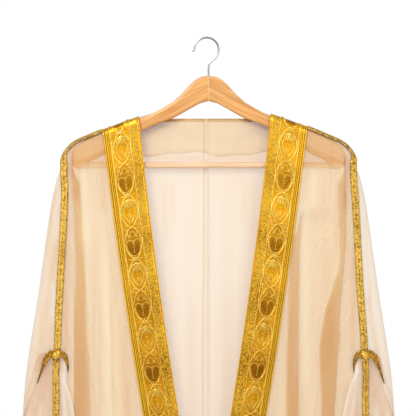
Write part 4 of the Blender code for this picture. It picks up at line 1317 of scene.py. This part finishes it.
for name in SIDES:
    path, normals = braid_line(name)
    made = plait("zari_braid_" + name, path, normals, 0.0047, 0.0007, 0.0090, braid_thread)
    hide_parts("shoulder_braid_" + name)
    flat_core("zari_braid_core_" + name, path - normals * 0.0006, normals, 0.0053, braid_thread)
    path, normals = gore_braid_line(name)
    made = plait("zari_gore_braid_" + name, path, normals, 0.0047, 0.0007, 0.0090, braid_thread)
    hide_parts("gore_braid_" + name)
    flat_core("zari_gore_core_" + name, path - normals * 0.0006, normals, 0.0053, braid_thread)
    path, normals, share = trim_line(name)
    made = plait("zari_arch_" + name, path, normals, 0.0042, 0.0012, 0.0100, arch_thread_shaded, share)
    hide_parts("hand_slit_trim_" + name)
    flat_core("zari_arch_core_" + name, path, normals, 0.0050 * share, arch_thread_shaded)
    knot(name)

# %% [markdown]
# ## Gold edge of the back neck
# A narrow strip of the same ground runs along the back neck on the outside; from the front only
# its top edge shows.

# %% Back neck band
neck_band_points = neck_grid(
    0.0940, lambda half: -0.0008 + 0 * half,
    lambda x: 0.1350 - 0.0040 * ease((np.abs(x) - 0.080) / 0.014), CLOTH_HALF + 0.0003 + 0.0008)
neck_band = cloth("zari_neck_band", neck_band_points, -1, 0.0014, band_ground)
with_share(neck_band, neck_band_points, -1)
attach(neck_band, "root")
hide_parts("back_neck_band")

# %% [markdown]
# ## Beech hanger and steel hook
# The hanger's arms are sawn from light beech and lacquered to a satin: the eye sees warm, close
# streaks along the grain and a soft highlight. Rings stretched along each arm give the grain,
# 2 to 4 mm apart. The hook is chromed steel wire.


# %% Wood and steel
def beech(name, slope, pale="#f2b56c", dark="#cc8844"):
    """Make lacquered beech with its grain along one direction in the hanger's plane."""
    look = new_look(name, pale, 0.42, Coat_Weight=0.25, Coat_Roughness=0.3)
    place = add(look, "TexCoord").outputs["Object"]
    turned = add(look, "Mapping", {0: place, "Rotation": (0, slope, 0)}).outputs[0]
    grain = add(look, "Mapping", {0: turned, "Scale": (12.0, 300.0, 380.0)}).outputs[0]
    noise = add(look, "TexNoise", {"Vector": grain, "Scale": 1.0, "Detail": 4.0}).outputs[0]
    share = add(look, "MapRange", {0: noise, 1: 0.35, 2: 0.68}).outputs[0]
    colour = blend_of(look, share, linear(pale), linear(dark))
    bump = add(look, "Bump", {"Strength": 0.15, "Distance": 0.0004, "Height": noise}).outputs[0]
    to_shader(look, Base_Color=colour, Normal=bump)
    return look


WOOD = {
    "hanger_arm_left": beech("beech_left", math.radians(27)),
    "hanger_arm_right": beech("beech_right", math.radians(-27)),
    "hanger_bar": beech("beech_bar", 0.0, "#f6d4ae", "#e4b488"),
}
for node, look in WOOD.items():
    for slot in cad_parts[node].material_slots:
        slot.material = look
steel = new_look("chromed_steel_wire", "#a4a7ad", 0.28, 1.0)
place = add(steel, "TexCoord").outputs["Object"]
drawn = add(steel, "Mapping", {0: place, "Scale": (900.0, 900.0, 60.0)}).outputs[0]
lines = add(steel, "TexNoise", {"Vector": drawn, "Scale": 1.0, "Detail": 2.0}).outputs[0]
to_shader(steel, Normal=add(steel, "Bump", {"Strength": 0.08, "Distance": 0.0002,
                                            "Height": lines}).outputs[0])
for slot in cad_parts["hanger_hook"].material_slots:
    slot.material = steel

# %% [markdown]
# ## Floor
# A pale floor lies 50 mm under the hem.

# %% Finish
floor_mesh = bpy.data.meshes.new("floor")
floor_mesh.from_pydata([(-3, -3, -1.6), (3, -3, -1.6), (3, 3, -1.6), (-3, 3, -1.6)], [],
                       [(0, 1, 2, 3)])
floor_look = new_look("pale_floor", "#f4f2ee", 0.9)
floor_mesh.materials.append(floor_look)
floor = bpy.data.objects.new("floor", floor_mesh)
bpy.context.scene.collection.objects.link(floor)
